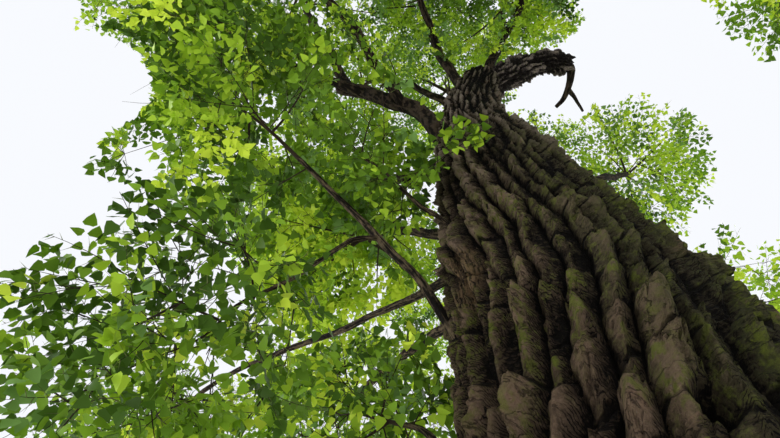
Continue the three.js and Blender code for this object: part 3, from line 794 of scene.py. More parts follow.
def bark_fields(finish):
    """What the trunk's finish reads at each point, by name: marks, coordinates and noises."""
    place = finish.place()
    sway = finish.add("ShaderNodeTexNoise", None, {"Vector": place, "Scale": 7.0, "Detail": 3.0}, 1)
    sway = finish.add("ShaderNodeVectorMath", {"operation": "SCALE"}, {0: sway, "Scale": 0.08})
    bent = finish.add("ShaderNodeVectorMath", {"operation": "ADD"}, {0: place, 1: sway})
    chip = finish.add("ShaderNodeTexVoronoi", {"feature": "F1"},
                      {"Vector": finish.stretched(bent, (26.0, 26.0, 17.0)), "Scale": 1.0}, 1)
    at = SimpleNamespace(
        relief=finish.mark("relief"), side=finish.mark("side"),
        height=finish.axis(bent, "Z"), aside=finish.axis(bent, "X"),
        broad=finish.noise(place, 1.6, 3), patch=finish.noise(place, 5.0, 4),
        tufts=finish.noise(place, 17.0, 6, 0.7), grit=finish.noise(place, 42.0, 6, 0.65),
        specks=finish.noise(place, 75.0, 3), layers=finish.grain(bent, (5.0, 5.0, 60.0), 3, 0.6),
        splits=finish.grain(bent, (30.0, 30.0, 8.0), 4), fibres=finish.grain(bent, (60.0, 60.0, 4.0), 3),
        chip=finish.add("ShaderNodeSeparateColor", None, {0: chip}))
    at.whole = (finish.grain(bent, (4.0, 4.0, 9.0), 4) - 0.5).size().step(0.0, 0.02)
    at.cross = (finish.mark("crack") + 0.6 * (at.grit - 0.5)).step(0.4, 0.75)
    at.rotten = (finish.mark("scar") + 0.7 * (at.patch - 0.5)).step(0.35, 0.65)
    layer = 50 * at.height - 7.0 * at.relief + 5.0 * (at.patch - 0.5) + 1.2 * (at.grit - 0.5)
    at.layer = layer.fraction()
    at.flaky = at.side * (1 - at.relief.step(0.75, 0.95))
    return at


def bark_tone(at):
    """How light the bark is, from about 0 deep in a furrow to 1 on a crest; where it is low, the bark
    takes the furrow's painted shade.
    """
    tone = at.relief + 0.9 * (at.grit - 0.5) + 0.45 * (at.layers - 0.5)
    tone = tone + 0.5 * (at.patch - 0.5) + 0.2 * (at.chip - 0.5)
    # The plates' right flanks are darkened by 0.12 as painted shade, besides the dark lines of their
    # layers.
    tone = tone - 0.5 * ((1 - at.layer.step(0.05, 0.4)) * at.flaky) - 0.12 * at.side
    tone = tone - 0.14 * at.aside.step(-0.3, 0.5) + 0.14
    return tone + at.height.step(3.5, 9.0) * (1.1 * at.relief - 0.82) - 0.2 * at.height.step(9.3, 10.6)


def bark_body(finish, settings, at, tone):
    """The plates' own colours with painted shade on their flanks and in their furrows, and pale flecks,
    a green film and fresh flakes.
    """
    high = at.height.step(3.0, 9.0)
    crest = finish.blend(colour(settings.crest), colour(settings.high_crest), high)
    # Painted shade: from the flank colour down to the near-black furrow colour where the tone is low.
    body = finish.blend(colour(settings.furrow), colour(settings.flank), tone.step(0.27, 0.62))
    body = finish.blend(body, crest, tone.step(0.52, 1.2))
    flecks = at.specks.step(0.66, 0.74) * at.relief.step(0.7, 0.95) * at.patch.step(0.4, 0.6)
    body = finish.blend(body, colour(settings.fleck), 0.6 * flecks)
    film = at.aside.step(-0.5, 0.2) * (1 - 0.6 * at.height.step(4.0, 8.0)) * at.broad.step(0.2, 0.5)
    body = finish.blend(body, colour(settings.film), 0.78 * film * tone.step(0.3, 0.7))
    flaked = (at.patch + 0.35 * (at.layers - 0.5)).step(0.6, 0.68) * at.relief.step(0.5, 0.8)
    return finish.blend(body, colour(settings.flake), 0.5 * flaked)


def bark_cover(finish, settings, at, tone, body):
    """Moss on the plates' edges, dark cracks, and rotten wood in the scar, over the bark's body."""
    mossy = (at.broad + 0.5 * (at.patch - 0.5)).step(0.34, 0.58) * tone.step(0.45, 0.85)
    mossy = mossy * (1 - at.height.step(3.5, 8.5)) * at.tufts.step(0.44, 0.58)
    body = finish.blend(body, colour(settings.moss), 0.92 * mossy)
    body = finish.blend(colour(settings.furrow), body, 0.45 + 0.55 * at.whole)
    body = finish.blend(body, colour(settings.furrow), 0.92 * at.cross)
    fibres = at.fibres.step(0.38, 0.62)
    wood = finish.blend(colour(settings.furrow), colour(settings.rotten), fibres)
    return finish.blend(body, wood, 0.85 * at.rotten)


def trunk_finish(settings):
    """Dark layered bark with furrows painted near-black as shade, tan flakes and moss on its edges."""
    finish = Finish("trunk_bark")
    at = bark_fields(finish)
    tone = bark_tone(at)
    body = bark_cover(finish, settings, at, tone, bark_body(finish, settings, at, tone))
    surface = 0.6 * at.layer * at.flaky + 0.6 * at.layers + 0.8 * at.grit + 0.3 * at.splits
    surface = surface + 0.4 * at.whole + 0.3 * at.chip - 0.8 * at.cross
    finish.shade(
        Base_Color=body, Roughness=0.95 - 0.25 * at.layers.step(0.5, 0.8),
        Specular_IOR_Level=0.12, Normal=finish.bump(surface, 0.06, 1.0))
    return finish.material


def bough_finish(name, crest, flank, scale, dark=0.3, lit_low_crest=None):
    """Bark of the boughs: fine lengthwise relief and grit, dark with painted shade up to a share of the
    relief.
    """
    finish = Finish(name)
    place = finish.place()
    broad = finish.noise(place, 1.2 * scale, 3)
    grit = finish.noise(place, 30.0 * scale, 6, 0.65)
    tone = finish.mark("relief") + 1.2 * (grit - 0.5) + 0.25 * (broad - 0.5)
    lit = colour(crest)
    # Painted light and shade: below 5.6 m the crests take the lighter colour of the lowest boughs, and
    # above 7.4 m the darker crest colour that stands for the crown's shade.
    if lit_low_crest:
        lit = finish.blend(colour(lit_low_crest), lit, finish.axis(place, "Z").step(5.6, 7.4))
    # The flank colour is painted shade between the ridges.
    body = finish.blend(colour(flank), lit, tone.step(dark, dark + 0.65))
    finish.shade(Base_Color=body, Roughness=0.9 - 0.2 * grit, Specular_IOR_Level=0.1,
                 Normal=finish.bump(grit + 0.5 * broad, 0.03, 1.0))
    return finish.material


def plain_finish(name, shade, roughness):
    """One plain base colour, for twigs and leaves that take theirs by spray."""
    finish = Finish(name)
    finish.shade(Base_Color=colour(shade), Roughness=roughness, Specular_IOR_Level=0.12)
    return finish.material


# Trunk
def trunk_axis(height):
    lean = LEAN_RATE * np.maximum(0, height - LEAN_START) ** 2
    return direction(LEAN_HEADING, 0) * lean[..., None] + UP * height[..., None]


def trunk_radius(height):
    return TRUNK_RADIUS - TRUNK_TAPER * height + FLARE * np.exp(-height / FLARE_FADE)


def turned(bearing, middle):
    """Degrees from a middle bearing, -180 to 180."""
    return (bearing - middle + 180) % 360 - 180


def from_middle(bearing, height, feature):
    """Metres round the trunk and up from the middle of a feature of its bark."""
    across = np.radians(turned(bearing, feature["bearing"])) * trunk_radius(height)
    return across, height - feature["height"]


def swelling(bearing, height):
    """How far the burl and the ledge stand out, and the share of the knot hole and its collar."""
    around = np.maximum(0, np.cos(np.radians(bearing - BURL["bearing"])))
    along = (height - BURL["height"]) / BURL["spread"]
    burl = BURL["size"] * around ** BURL_SHARPNESS * np.exp(-along * along)
    across, up = from_middle(bearing, height, LEDGE)
    ledge = LEDGE["size"] * np.exp(-(across ** 2 + up ** 2) / LEDGE["spread"] ** 2)
    across, up = from_middle(bearing, height, KNOT_HOLE)
    away = (across ** 2 + KNOT_HOLE["height_share"] * up ** 2) / KNOT_HOLE["size"] ** 2
    hole = np.exp(-away ** 2)
    collar = np.exp(-away / KNOT_HOLE["collar"] ** 2)
    return burl + ledge - KNOT_HOLE["depth"] * hole, hole, collar


def scar_share(bearing, height):
    """How rotten the wood is: 1 in the scar below the ledge, 0 elsewhere."""
    across, up = from_middle(bearing, height, SCAR)
    return np.exp(-(across / SCAR["wide"]) ** 2 - (up / SCAR["tall"]) ** 2)


def plate_relief(across, along, columns, stretch):
    """Relief of bark plates, 0 in the furrows and 1 on the crests, a number for each plate, and
    which side of its crest each point is on, 0 left and 1 right."""
    column = np.floor(across).astype(np.int64)
    row = np.floor(along).astype(np.int64)
    sites = []
    for step in np.ndindex(3, 4):
        near_column = column + step[0] - 1
        near_row = row + step[1] - 2
        whole = near_column % columns
        middle = near_column + 0.5 + PLATE_JITTER * (hashed(whole, near_row, 1) - 0.5)
        height = near_row + 0.5 * (whole % 2) + 0.9 * hashed(whole, near_row, 2)
        sites.append((middle, height, hashed(whole, near_row, 3)))
    middles, heights, numbers = (np.stack(group) for group in zip(*sites))
    spread = (middles - across) ** 2 + (heights - along) ** 2
    nearest = np.argmin(spread, axis=0)[None]
    least = np.take_along_axis(spread, nearest, 0)[0]
    home = [np.take_along_axis(group, nearest, 0)[0] for group in (middles, heights, numbers)]
    relief = np.ones(across.shape)
    crest = CREST_PLACE + CREST_SPREAD * (home[2] - 0.5)
    for middle, height, away in zip(middles, heights, spread):
        gap = np.hypot(middle - home[0], height - home[1])
        upright = np.abs(middle - home[0]) / np.maximum(gap, 1e-6)
        level = np.abs(height - home[1]) / np.maximum(gap, 1e-6)
        edge = (away - least) / (2 * np.maximum(gap, 1e-6))
        edge = edge / np.sqrt(upright ** 2 + (level / stretch) ** 2 + 1e-9)
        reach = upright * np.where(middle > home[0], 1 - crest, crest) + (1 - upright) * 0.5
        flank = np.clip(edge / reach, 0, 1) ** PLATE_FULLNESS
        notch = np.clip(edge / NOTCH_WIDTH, 0, 1)
        drop = (1 - CROSS_CRACKS * level ** 2) * (1 - NOTCH * notch - (1 - NOTCH) * flank)
        relief = np.where(gap > 1e-6, np.minimum(relief, 1 - drop), relief)
    relief = relief * (1 + PLATE_TILT * np.clip(along - home[1], -0.7, 0.7))
    side = 0.5 + SIDE_SHARPNESS * (across - home[0] - crest + 0.5)
    return relief, home[2], np.clip(side, 0, 1)


def block_relief(skin, number):
    """Steps, tilts and grooves of the blocks that cracks across a plate leave, and the cracks."""
    along = layered(skin, BLOCK_WAVES, skin[..., 2] / BLOCK_LENGTH + 7 * number)
    block = np.floor(along)
    edge = np.abs(along - block - 0.5)
    drawn = hashed(block.astype(np.int64), (number * 4096).astype(np.int64), 5)
    fade = 1 - smooth(edge, 0.46, 0.5)
    relief = (2 * BLOCK_STEP * (drawn - 0.5) + BLOCK_TILT * (along - block - 0.5)) * fade
    return relief - BLOCK_GROOVE * smooth(edge, 0.44, 0.5), smooth(edge, 0.37, 0.5)


def plate_places(settings, turn, height, skin, upness):
    """Where each point lies among the plates: plates round the trunk and plates up it."""
    width = 2 * math.pi / settings.plates
    lengths = np.log(TRUNK_RADIUS / (TRUNK_RADIUS - TRUNK_TAPER * height)) / (
        width * TRUNK_TAPER * PLATE_STRETCH)
    across = settings.plates * turn + WARP * (1 + UPPER_WARP * upness) * layered(skin, PLATE_WAVES)
    return across, lengths * (1 - UPPER_LENGTH * upness) + 0.25 * noise(skin * 2.1 + 77)


def bark_relief(settings, turn, height, skin, upness):
    """Relief of plates and their blocks, and the marks of cracks and of the crests' sides."""
    across, along = plate_places(settings, turn, height, skin, upness)
    relief, number, side = plate_relief(across, along, settings.plates, PLATE_STRETCH)
    relief = relief * (0.9 + 0.3 * (number - 0.5))
    blocks, crack = block_relief(skin, number)
    return relief + blocks * relief * (1 - UPPER_BLOCKS * upness), crack, side


def broken_skin(skin):
    """Facets as large as chunks and chips of bark."""
    swayed = skin + 0.05 * sideways(skin * 6, (19, 29, 39))
    return facets(swayed * CHUNKS["size"]), facets(swayed * CHIPS["size"] + 50)


def trunk_grid(settings, heights):
    """Points of the trunk's bark over rows of heights, and their marks."""
    height = np.repeat(heights[:, None], settings.columns, axis=1)
    turn = np.repeat(np.arange(settings.columns)[None] / settings.columns, len(heights), axis=0)
    bearing = 360 * turn + np.interp(height, GRAIN_HEIGHTS, GRAIN_TURNS)
    radius = trunk_radius(height)
    skin = direction(bearing, 0) * radius[..., None] + UP * height[..., None]
    upness = smooth(height, *UPPER_BARK)
    relief, crack, side = bark_relief(settings, turn, height, skin, upness)
    swell, hole, collar = swelling(bearing, height)
    relief = relief + collar * (COLLAR_RELIEF - relief)
    depth = settings.depth * np.sqrt(radius / TRUNK_RADIUS) * (1 - UPPER_DEPTH * upness)
    buttress = BUTTRESS_DEPTH * np.exp(-height / BUTTRESS_FADE) * np.cos(
        np.radians(BUTTRESSES * bearing))
    out = radius * (1 + buttress) + swell + depth * (relief - 1 + CREST_SHARE)
    chunks, chips = broken_skin(skin)
    rough = (0.15 + 0.85 * relief) * (0.75 + 0.6 * upness)
    broken = LUMP_SHARE * layered(skin, LUMPS) + CHUNKS["share"] * chunks + CHIPS["share"] * chips
    out = out + depth * rough * broken
    part = np.clip((height - FORK_HEIGHT) / (TRUNK_TOP - FORK_HEIGHT), 0, 1)
    out = out * (1 - TOP_NARROWING * part ** TOP_ROUNDNESS)
    grid = direction(bearing, 0) * out[..., None] + trunk_axis(height)
    # The relief mark goes to 0 in the knot hole, so the hole takes the furrow's painted shade.
    tint = np.clip(relief + 0.08 * chunks + 0.08 * chips, 0, 1) * (1 - hole)
    marks = {"relief": tint, "scar": scar_share(bearing, height), "crack": crack, "side": side}
    return grid, marks


def capped(corners, faces, normals, marks, ring, up):
    """A stretch of bark closed at one end, over a ring of its corners."""
    faces = np.concatenate([faces, cap_faces(ring, len(corners), up)])
    corners = np.append(corners, corners[ring].mean(axis=0)[None], axis=0)
    normals = np.append(normals, [UP if up else -UP], axis=0)
    return corners, faces, normals, {mark: np.append(values, 0.0) for mark, values in marks.items()}


def build_trunk(settings):
    """Three pieces of bark, one over the other, closed at the foot and the top."""
    lower = np.linspace(0, 1, settings.lower_rows) ** LOWER_CROWDING * settings.split_height
    upper = np.linspace(settings.split_height, TRUNK_TOP, 2 * settings.upper_rows - 1)
    grid, marks = trunk_grid(settings, np.concatenate([lower, upper[1:]]))
    normals = sheet_normals(grid)
    finish = trunk_finish(settings)
    first = settings.lower_rows - 1
    second = first + settings.upper_rows - 1
    last = len(grid) - 1
    foot = np.arange(settings.columns)
    for name, start, end in (("trunk_lower_bark", 0, first), ("trunk_middle_bark", first, second),
                             ("trunk_upper_bark", second, last)):
        rows = slice(start, end + 1)
        own = {mark: values[rows].ravel() for mark, values in marks.items()}
        mesh = (grid[rows].reshape(-1, 3), sheet_faces(end + 1 - start, settings.columns),
                normals[rows].reshape(-1, 3), own)
        if start == 0:
            mesh = capped(*mesh, foot, False)
        if end == last:
            mesh = capped(*mesh, foot + (end - start) * settings.columns, True)
        corners, faces, skin, own = mesh
        piece(name, corners, faces, [finish], ["trunk"], normals=skin, marks=own)


# Boughs
def curve_point(points, part):
    """The place at a part of the way, 0 to 1, along the smooth curve through points."""
    last = len(points) - 1
    step = min(int(part * last), last - 1)
    share = part * last - step
    before = points[step - 1] if step > 0 else 2 * points[0] - points[1]
    after = points[step + 2] if step + 2 <= last else 2 * points[last] - points[last - 1]
    four = (before, points[step], points[step + 1], after)
    gaps = [np.linalg.norm(four[i + 1] - four[i]) ** 0.5 for i in range(3)]

    def slope(first, second, third, gap, next_gap):
        return ((second - first) / gap - (third - first) / (gap + next_gap)
                + (third - second) / next_gap) * gaps[1]

    leave = slope(*four[:3], gaps[0], gaps[1])
    arrive = slope(*four[1:], gaps[1], gaps[2])
    way = four[2] - four[1]
    return (four[1] + leave * share + (3 * way - 2 * leave - arrive) * share ** 2
            + (leave + arrive - 2 * way) * share ** 3)


class Limb:
    """A bough's bent line, and its radius along it"""

    def __init__(self, order, done):
        self.name, start, leave, tip, arrive, self.radii = LIMBS[order]
        self.parent = done.get(start[0])
        start = self.parent.at(start[1]) if self.parent else self.on_trunk(*start)
        dice = Dice(RANDOM_START * (order + LIMB_SEEDS))
        end = polar(*tip)
        pull = np.linalg.norm(end - start) / 3
        pins = (start, start + direction(*leave) * pull, end - direction(*arrive) * pull, end)
        self.points = []
        for step in range(LIMB_STEPS + 1):
            shift = dice.stray() * (3 * pull * CROOKEDNESS)
            point = self.bend(pins, step / LIMB_STEPS)
            self.points.append(point + shift if 1 < step < LIMB_STEPS - 1 else point)

    @staticmethod
    def on_trunk(height, bearing, inset=LIMB_INSET):
        height = np.array(height)
        return direction(bearing, 0) * inset * trunk_radius(height) + trunk_axis(height)

    @staticmethod
    def bend(pins, part):
        rest = 1 - part
        shares = (rest ** 3, 3 * rest ** 2 * part, 3 * rest * part ** 2, part ** 3)
        return sum(share * pin for share, pin in zip(shares, pins))

    @property
    def dead(self):
        return self.name.startswith("dead")

    def at(self, part):
        return curve_point(self.points, part)

    def radius(self, part):
        swell = DEAD_COLLAR if self.name == "dead_limb" else TRUNK_COLLAR
        swell = FORK_COLLAR if self.parent else swell
        root, tip = self.radii
        return (root + (tip - root) * part ** LIMB_TAPER) * (1 + swell * np.exp(-part * COLLAR_FADE))

    def heading_out(self):
        """The unit vector along the limb at its tip."""
        return unit(self.at(1) - self.at(0.9999))


@functools.cache
def all_limbs():
    done = {}
    for order, row in enumerate(LIMBS):
        done[row[0]] = Limb(order, done)
    return done


@functools.cache
def limb_stretches():
    """Both ends and the radius of each straight stretch of every limb."""
    starts, ends, radii = [], [], []
    for limb in all_limbs().values():
        for step in range(LIMB_STEPS):
            starts.append(limb.at(step / LIMB_STEPS))
            ends.append(limb.at((step + 1) / LIMB_STEPS))
            radii.append(limb.radius(step / LIMB_STEPS))
    return np.array(starts), np.array(ends), np.array(radii)


def limb_frames(line):
    """Two sideways unit vectors at each point of a line, turned as little as may be."""
    along = unit(np.gradient(line, axis=0))
    side = unit(np.cross(along[0], UP if abs(along[0][2]) < UPRIGHT else ASIDE))
    sides = []
    for way in along:
        side = unit(side - way * np.dot(side, way))
        sides.append(side)
    sides = np.array(sides)
    return along, sides, np.cross(along, sides)


def scaly_bark(line, way, parts, radius, turn, out):
    """Relief and bulge of the dead limb's scales, worn thin at its broken end."""
    width = 2 * np.pi * radius.mean() / SCALE_COLUMNS
    flow = out * 1.7 + way[:, None, None] * (0, 0, 4.0)
    across = SCALE_COLUMNS * turn / (2 * np.pi) + 0.7 * noise(flow) + 0.3 * noise(flow * 3)
    lengthwise = way[:, None] / (SCALE_STRETCH * width) + 0.3 * noise(flow + 9)
    relief, number, _ = plate_relief(across, lengthwise, SCALE_COLUMNS, SCALE_STRETCH)
    relief = relief * (0.65 + 0.6 * number)
    scales = facets((line[:, None] + out * radius[:, None, None]) * 17.0)
    bulge = 0.14 * (relief - 0.7) + 0.02 * scales + 0.03 * noise(line[:, None] * 3 + out * 2)
    worn = smooth(parts, 0.9, 1.0)[:, None]
    return relief, bulge - worn * 0.3 * radius[:, None] * (0.6 + 0.7 * noise(out * 1.6 + 4))


def ridged_bark(line, way, radius, out, dead):
    """Relief and bulge of a bough's lengthwise ridges, or of bare dead wood."""
    ridge = 2.0 if dead else np.maximum(3.0, 30 * radius[:, None, None])
    flow = out * ridge + way[:, None, None] * (0, 0, 7.0)
    relief = 1 - np.abs(noise(flow) + 0.3 * noise(flow * 2.7)) * 1.8
    lumps = noise(line[:, None] * 4 + out * 1.4)
    share = 0.05 if dead else 0.17
    return relief, radius[:, None] * (share * (relief - 0.6) + 0.14 * lumps)


def limb_line(limb, gap):
    """Parts of the way along a bough, its points there, and its radii; living boughs sway."""
    length = np.linalg.norm(limb.points[-1] - limb.points[0])
    parts = np.linspace(0, 1, max(LEAST_RINGS, int(length / gap)))
    line = np.array([limb.at(part) for part in parts])
    radius = limb.radius(parts)
    if not limb.dead:
        reach = (BOUGH_SWAY * 4 * radius * parts * (1 - parts))[:, None]
        line = line + reach * sideways(line * 2.3, (11, 47, 83))
    return parts, line, radius


def limb_mesh(limb, sides, gap):
    """Corners, faces and relief of one bough with its bark."""
    parts, line, radius = limb_line(limb, gap)
    along, side, other = limb_frames(line)
    turn = 2 * np.pi * np.arange(sides) / sides
    out = side[:, None] * np.cos(turn)[:, None] + other[:, None] * np.sin(turn)[:, None]
    way = np.cumsum(np.append(0, np.linalg.norm(np.diff(line, axis=0), axis=1)))
    broken = limb.name == "dead_limb"
    if broken:
        relief, bulge = scaly_bark(line, way, parts, radius, turn, out)
    else:
        relief, bulge = ridged_bark(line, way, radius, out, limb.dead)
    grid = line[:, None] + out * (radius[:, None] + bulge)[..., None]
    middle = line[-1]
    if broken:
        ragged = 0.15 * noise(out[-1:] * 5.0 + 2) * np.linspace(0.1, 1, BROKEN_RINGS)[:, None]
        grid[-BROKEN_RINGS:] += along[-BROKEN_RINGS:, None] * ragged[..., None]
        middle = middle - along[-1] * BROKEN_HOLLOW
    corners = np.concatenate([grid.reshape(-1, 3), middle[None]])
    ring = np.arange(sides) + (len(parts) - 1) * sides
    faces = np.concatenate([sheet_faces(len(parts), sides), cap_faces(ring, len(corners) - 1, True)])
    return corners, faces, np.append(np.clip(relief, 0, 1).ravel(), 0.1)


def build_boughs(settings):
    """The living boughs, joined."""
    limbs = [limb for limb in all_limbs().values() if not limb.dead]
    corners, faces, relief = joined(
        [limb_mesh(limb, settings.sides, settings.ring_gap) for limb in limbs])
    finish = bough_finish("bough_bark", settings.crest, settings.flank, 1.0,
                          lit_low_crest=settings.lit_low_crest)
    piece("bough_bark", corners, faces, [finish], [limb.name for limb in limbs],
          marks={"relief": relief})


def build_dead_wood(settings):
    """The broken limb with its scales, and its bare crook and prong."""
    # Both finishes paint shade in their flank colours; the bare wood also takes the boughs' crest
    # colour, darkened as painted shade of the crown.
    scaly = bough_finish("dead_scales", settings.dead_crest, settings.dead_flank, 0.8, 0.62)
    smoothed = bough_finish("bare_wood", settings.crest, settings.flank, 1.4)
    limbs = all_limbs()
    corners, faces, relief = limb_mesh(limbs["dead_limb"], settings.dead_sides, settings.dead_gap)
    piece("dead_limb_bark", corners, faces, [scaly], ["dead_limb"],
          marks={"relief": relief})
    crook = ["dead_crook", "dead_prong"]
    corners, faces, relief = joined([limb_mesh(limbs[name], CROOK_SIDES, CROOK_GAP) for name in crook])
    piece("dead_crook_wood", corners, faces, [smoothed], crook, marks={"relief": relief})


# Spaces of the masses
def clear_of_trunk(points):
    height = np.minimum(points[..., 2], TRUNK_TOP)
    beyond = np.maximum(0, points[..., 2] - TRUNK_TOP)
    away = points - trunk_axis(height)
    away = np.sqrt(away[..., 0] ** 2 + away[..., 1] ** 2 + beyond ** 2)
    return away > trunk_radius(height) + TRUNK_CLEARANCE


def in_opening(points):
    """Whether each point is in one of the openings."""
    way = points - np.array(VIEWPOINT)
    away = np.linalg.norm(way, axis=-1)
    inside = np.zeros(points.shape[:-1], dtype=bool)
    for heading, rise, half_angle, reach in OPENINGS:
        near = (way @ direction(heading, rise)) > math.cos(math.radians(half_angle)) * away
        inside = inside | (near & (away < reach))
    return inside


class Space:
    """An ellipsoid along a bough's tip, cut off from its neighbours by planes"""

    def __init__(self, row):
        self.name, bough, self.long, self.wide, self.twigs, self.mix = row
        self.limb = all_limbs()[bough]
        self.at = self.limb.at(1)
        self.along = self.limb.heading_out()
        self.centre = self.at + self.along * TIP_TO_CENTRE * self.long
        self.mean = (self.long + 2 * self.wide) / 3
        self.walls = []
        self.pockets = [(np.array(centre), radius)
                        for name, centre, radius in POCKETS if name == self.name]

    def holds(self, points, scale=1.0):
        """Whether each point is in the space."""
        offset = points - self.centre
        lengthwise = offset @ self.along
        across = (offset ** 2).sum(axis=-1) - lengthwise ** 2
        inside = (lengthwise / self.long) ** 2 + across / self.wide ** 2 <= scale ** 2
        for toward, reach in self.walls:
            inside = inside & (offset @ toward <= reach * (scale if reach > 0 else 1))
        return inside & clear_of_trunk(points)

    def grows(self, points, scale=1.0):
        """Whether finer growth may reach each point: in the space or a pocket, not in an opening."""
        low, high = (np.array(corner) for corner in CAD_BOX)
        boxed = (points > low - BOX_MARGIN) & (points < high + BOX_MARGIN)
        inside = self.holds(points, scale)
        for centre, radius in self.pockets:
            near = np.linalg.norm(points - centre, axis=-1) < radius
            inside = inside | (near & clear_of_trunk(points))
        return inside & boxed.all(axis=-1) & ~in_opening(points)


@functools.cache
def all_spaces():
    spaces = [Space(row) for row in MASSES]
    for space in spaces:
        for other in spaces:
            apart = np.linalg.norm(other.centre - space.centre)
            if other is space or apart > space.long + other.long:
                continue
            toward = unit(other.centre - space.centre)
            reach = (apart ** 2 + space.mean ** 2 - other.mean ** 2) / (2 * apart)
            space.walls.append((toward, reach - SPACE_MARGIN))
    return spaces


def stretch_distance(a, b, c, d):
    """Shortest distances between the stretch a b and each stretch c d."""
    u, v, w = b - a, d - c, a - c
    uu, uv, vv = (u * u).sum(-1), (u * v).sum(-1), (v * v).sum(-1)
    uw, vw = (u * w).sum(-1), (v * w).sum(-1)
    cross = uu * vv - uv * uv
    nearest = np.clip((uv * vw - vv * uw) / np.maximum(cross, 1e-12), 0, 1)
    s = np.where(cross > 1e-6 * uu * vv, nearest, 0)
    t = np.clip((uv * s + vw) / vv, 0, 1)
    s = np.clip((uv * t - uw) / uu, 0, 1)
    return np.linalg.norm(w + u * s[..., None] - v * t[..., None], axis=-1)


def touches_limb(start, end, clearance):
    starts, ends, radii = limb_stretches()
    return bool((stretch_distance(start, end, starts, ends) < radii + clearance).any())


# Twigs
def grow_stem(space, dice):
    """Points, radii and paths of the stem that goes on from the bough's tip."""
    radius = STEM_THICKNESS * space.limb.radii[1]
    start = space.at + space.along * GAP
    stem = [(start, radius, 0.0)]
    for step in range(1, STEM_STEPS + 1):
        path = STEM_REACH * space.long * step / STEM_STEPS
        at = start + space.along * path
        if step > 1:
            at = at + dice.stray() * STEM_SWAY * space.long
        stem.append((at, radius * (1 - STEM_TAPER * step / STEM_STEPS), path))
    return stem


def random_inside(space, dice):
    while True:
        point = dice.stray() * space.long + space.centre
        if space.holds(point, TWIG_REACH):
            return point


def twig_tips(space, dice):
    """Tips far from each other, the nearest to the stem first."""
    tips = []
    for _ in range(space.twigs):
        best, best_away = None, -1
        for _ in range(CANDIDATES):
            point = random_inside(space, dice)
            away = min((np.linalg.norm(tip - point) for tip in tips), default=math.inf)
            if away > best_away:
                best, best_away = point, away
        tips.append(best)
    return sorted(tips, key=lambda tip: np.linalg.norm(tip - space.at))


def forks_of(stem, twigs):
    """Where a new twig may start: (place, radius, path) along the stem and the twigs grown."""
    forks = []
    for low, high in zip(stem, stem[1:]):
        for part in STEM_FORKS:
            forks.append(tuple(a + (b - a) * part for a, b in zip(low, high)))
    for start, end, radius, path in twigs:
        for part in TWIG_FORKS:
            length = np.linalg.norm(end - start)
            forks.append((start + (end - start) * part, radius * (1 - part), path + length * part))
    return forks


def nearest_fork(forks, place):
    return min(forks, key=lambda fork: np.linalg.norm(fork[0] - place) + PATH_WEIGHT * fork[2])


def spray_corners(root, along, side, length):
    """The outline of a spray as in the solids: root, shoulders, tip, and its two faces."""
    face = np.cross(along, side)
    middle = root + along * SPRAY_SHOULDER * length
    half = side * SPRAY_WIDTH * length / 2
    thick = face * SPRAY_THICKNESS * length / 2
    return np.array([root, middle + half, root + along * length, middle - half,
                     middle + thick, middle - thick])


def crosses_spray(root, tip, length, sprays):
    """Whether two sprays come near each other, told by their middle lines."""
    if not sprays:
        return False
    roots = np.array([spray["root"] for spray in sprays])
    tips = np.array([spray["tip"] for spray in sprays])
    near = SPRAY_NEARNESS * (length + np.linalg.norm(tips - roots, axis=1))
    starts = roots + (tips - roots) * SPRAY_BARE
    away = stretch_distance(root + (tip - root) * SPRAY_BARE, tip, starts, tips)
    return bool((away < near).any())


def fit_spray(space, twig, order, size, dice, sprays):
    """The longest spray that stays in the space, and clear of limbs and sprays."""
    start, end = twig[:2]
    way = unit(end - start)
    root = start + (end - start) * SPRAY_PLACES[order]
    outward = unit(root - space.centre)
    splay_share = SPRAY_SPLAY[order]
    for share in SPRAY_TRIES:
        splay = unit(np.cross(dice.stray(), way))
        along = unit(way * (1 - SPRAY_ONWARD * splay_share) + splay * splay_share
                     + outward * SPRAY_OUTWARD * splay_share)
        side = unit(np.cross(along, dice.stray()))
        length = size * share
        corners = spray_corners(root, along, side, length)
        clearance = SPRAY_WIDTH * length / 2 + TWIG_CLEARANCE
        if not space.holds(corners).all():
            continue
        if crosses_spray(root, corners[2], length, sprays):
            continue
        if not touches_limb(root, corners[2], clearance):
            return {"root": root, "tip": corners[2], "side": side}
    return None


def grow_coarse(space, dice):
    """The stem, twigs and sprays that the solids have, by the same draws."""
    stem = grow_stem(space, dice)
    room = 4 / 3 * math.pi * space.long * space.wide ** 2 / (space.twigs * len(SPRAY_PLACES))
    size = SPRAY_SIZE * room ** (1 / 3)
    twigs, sprays = [], []
    for tip in twig_tips(space, dice):
        fork, radius, path = nearest_fork(forks_of(stem, twigs), tip)
        radius = max(THINNEST_TWIG, TWIG_THICKNESS * radius)
        if touches_limb(fork + (tip - fork) * TWIG_FREE, tip, TWIG_CLEARANCE):
            continue
        twig = (fork, tip, radius, path)
        twigs.append(twig)
        for order in range(len(SPRAY_PLACES)):
            spray = fit_spray(space, twig, order, size, dice, sprays)
            if spray:
                sprays.append(spray)
    return stem, twigs, sprays, size


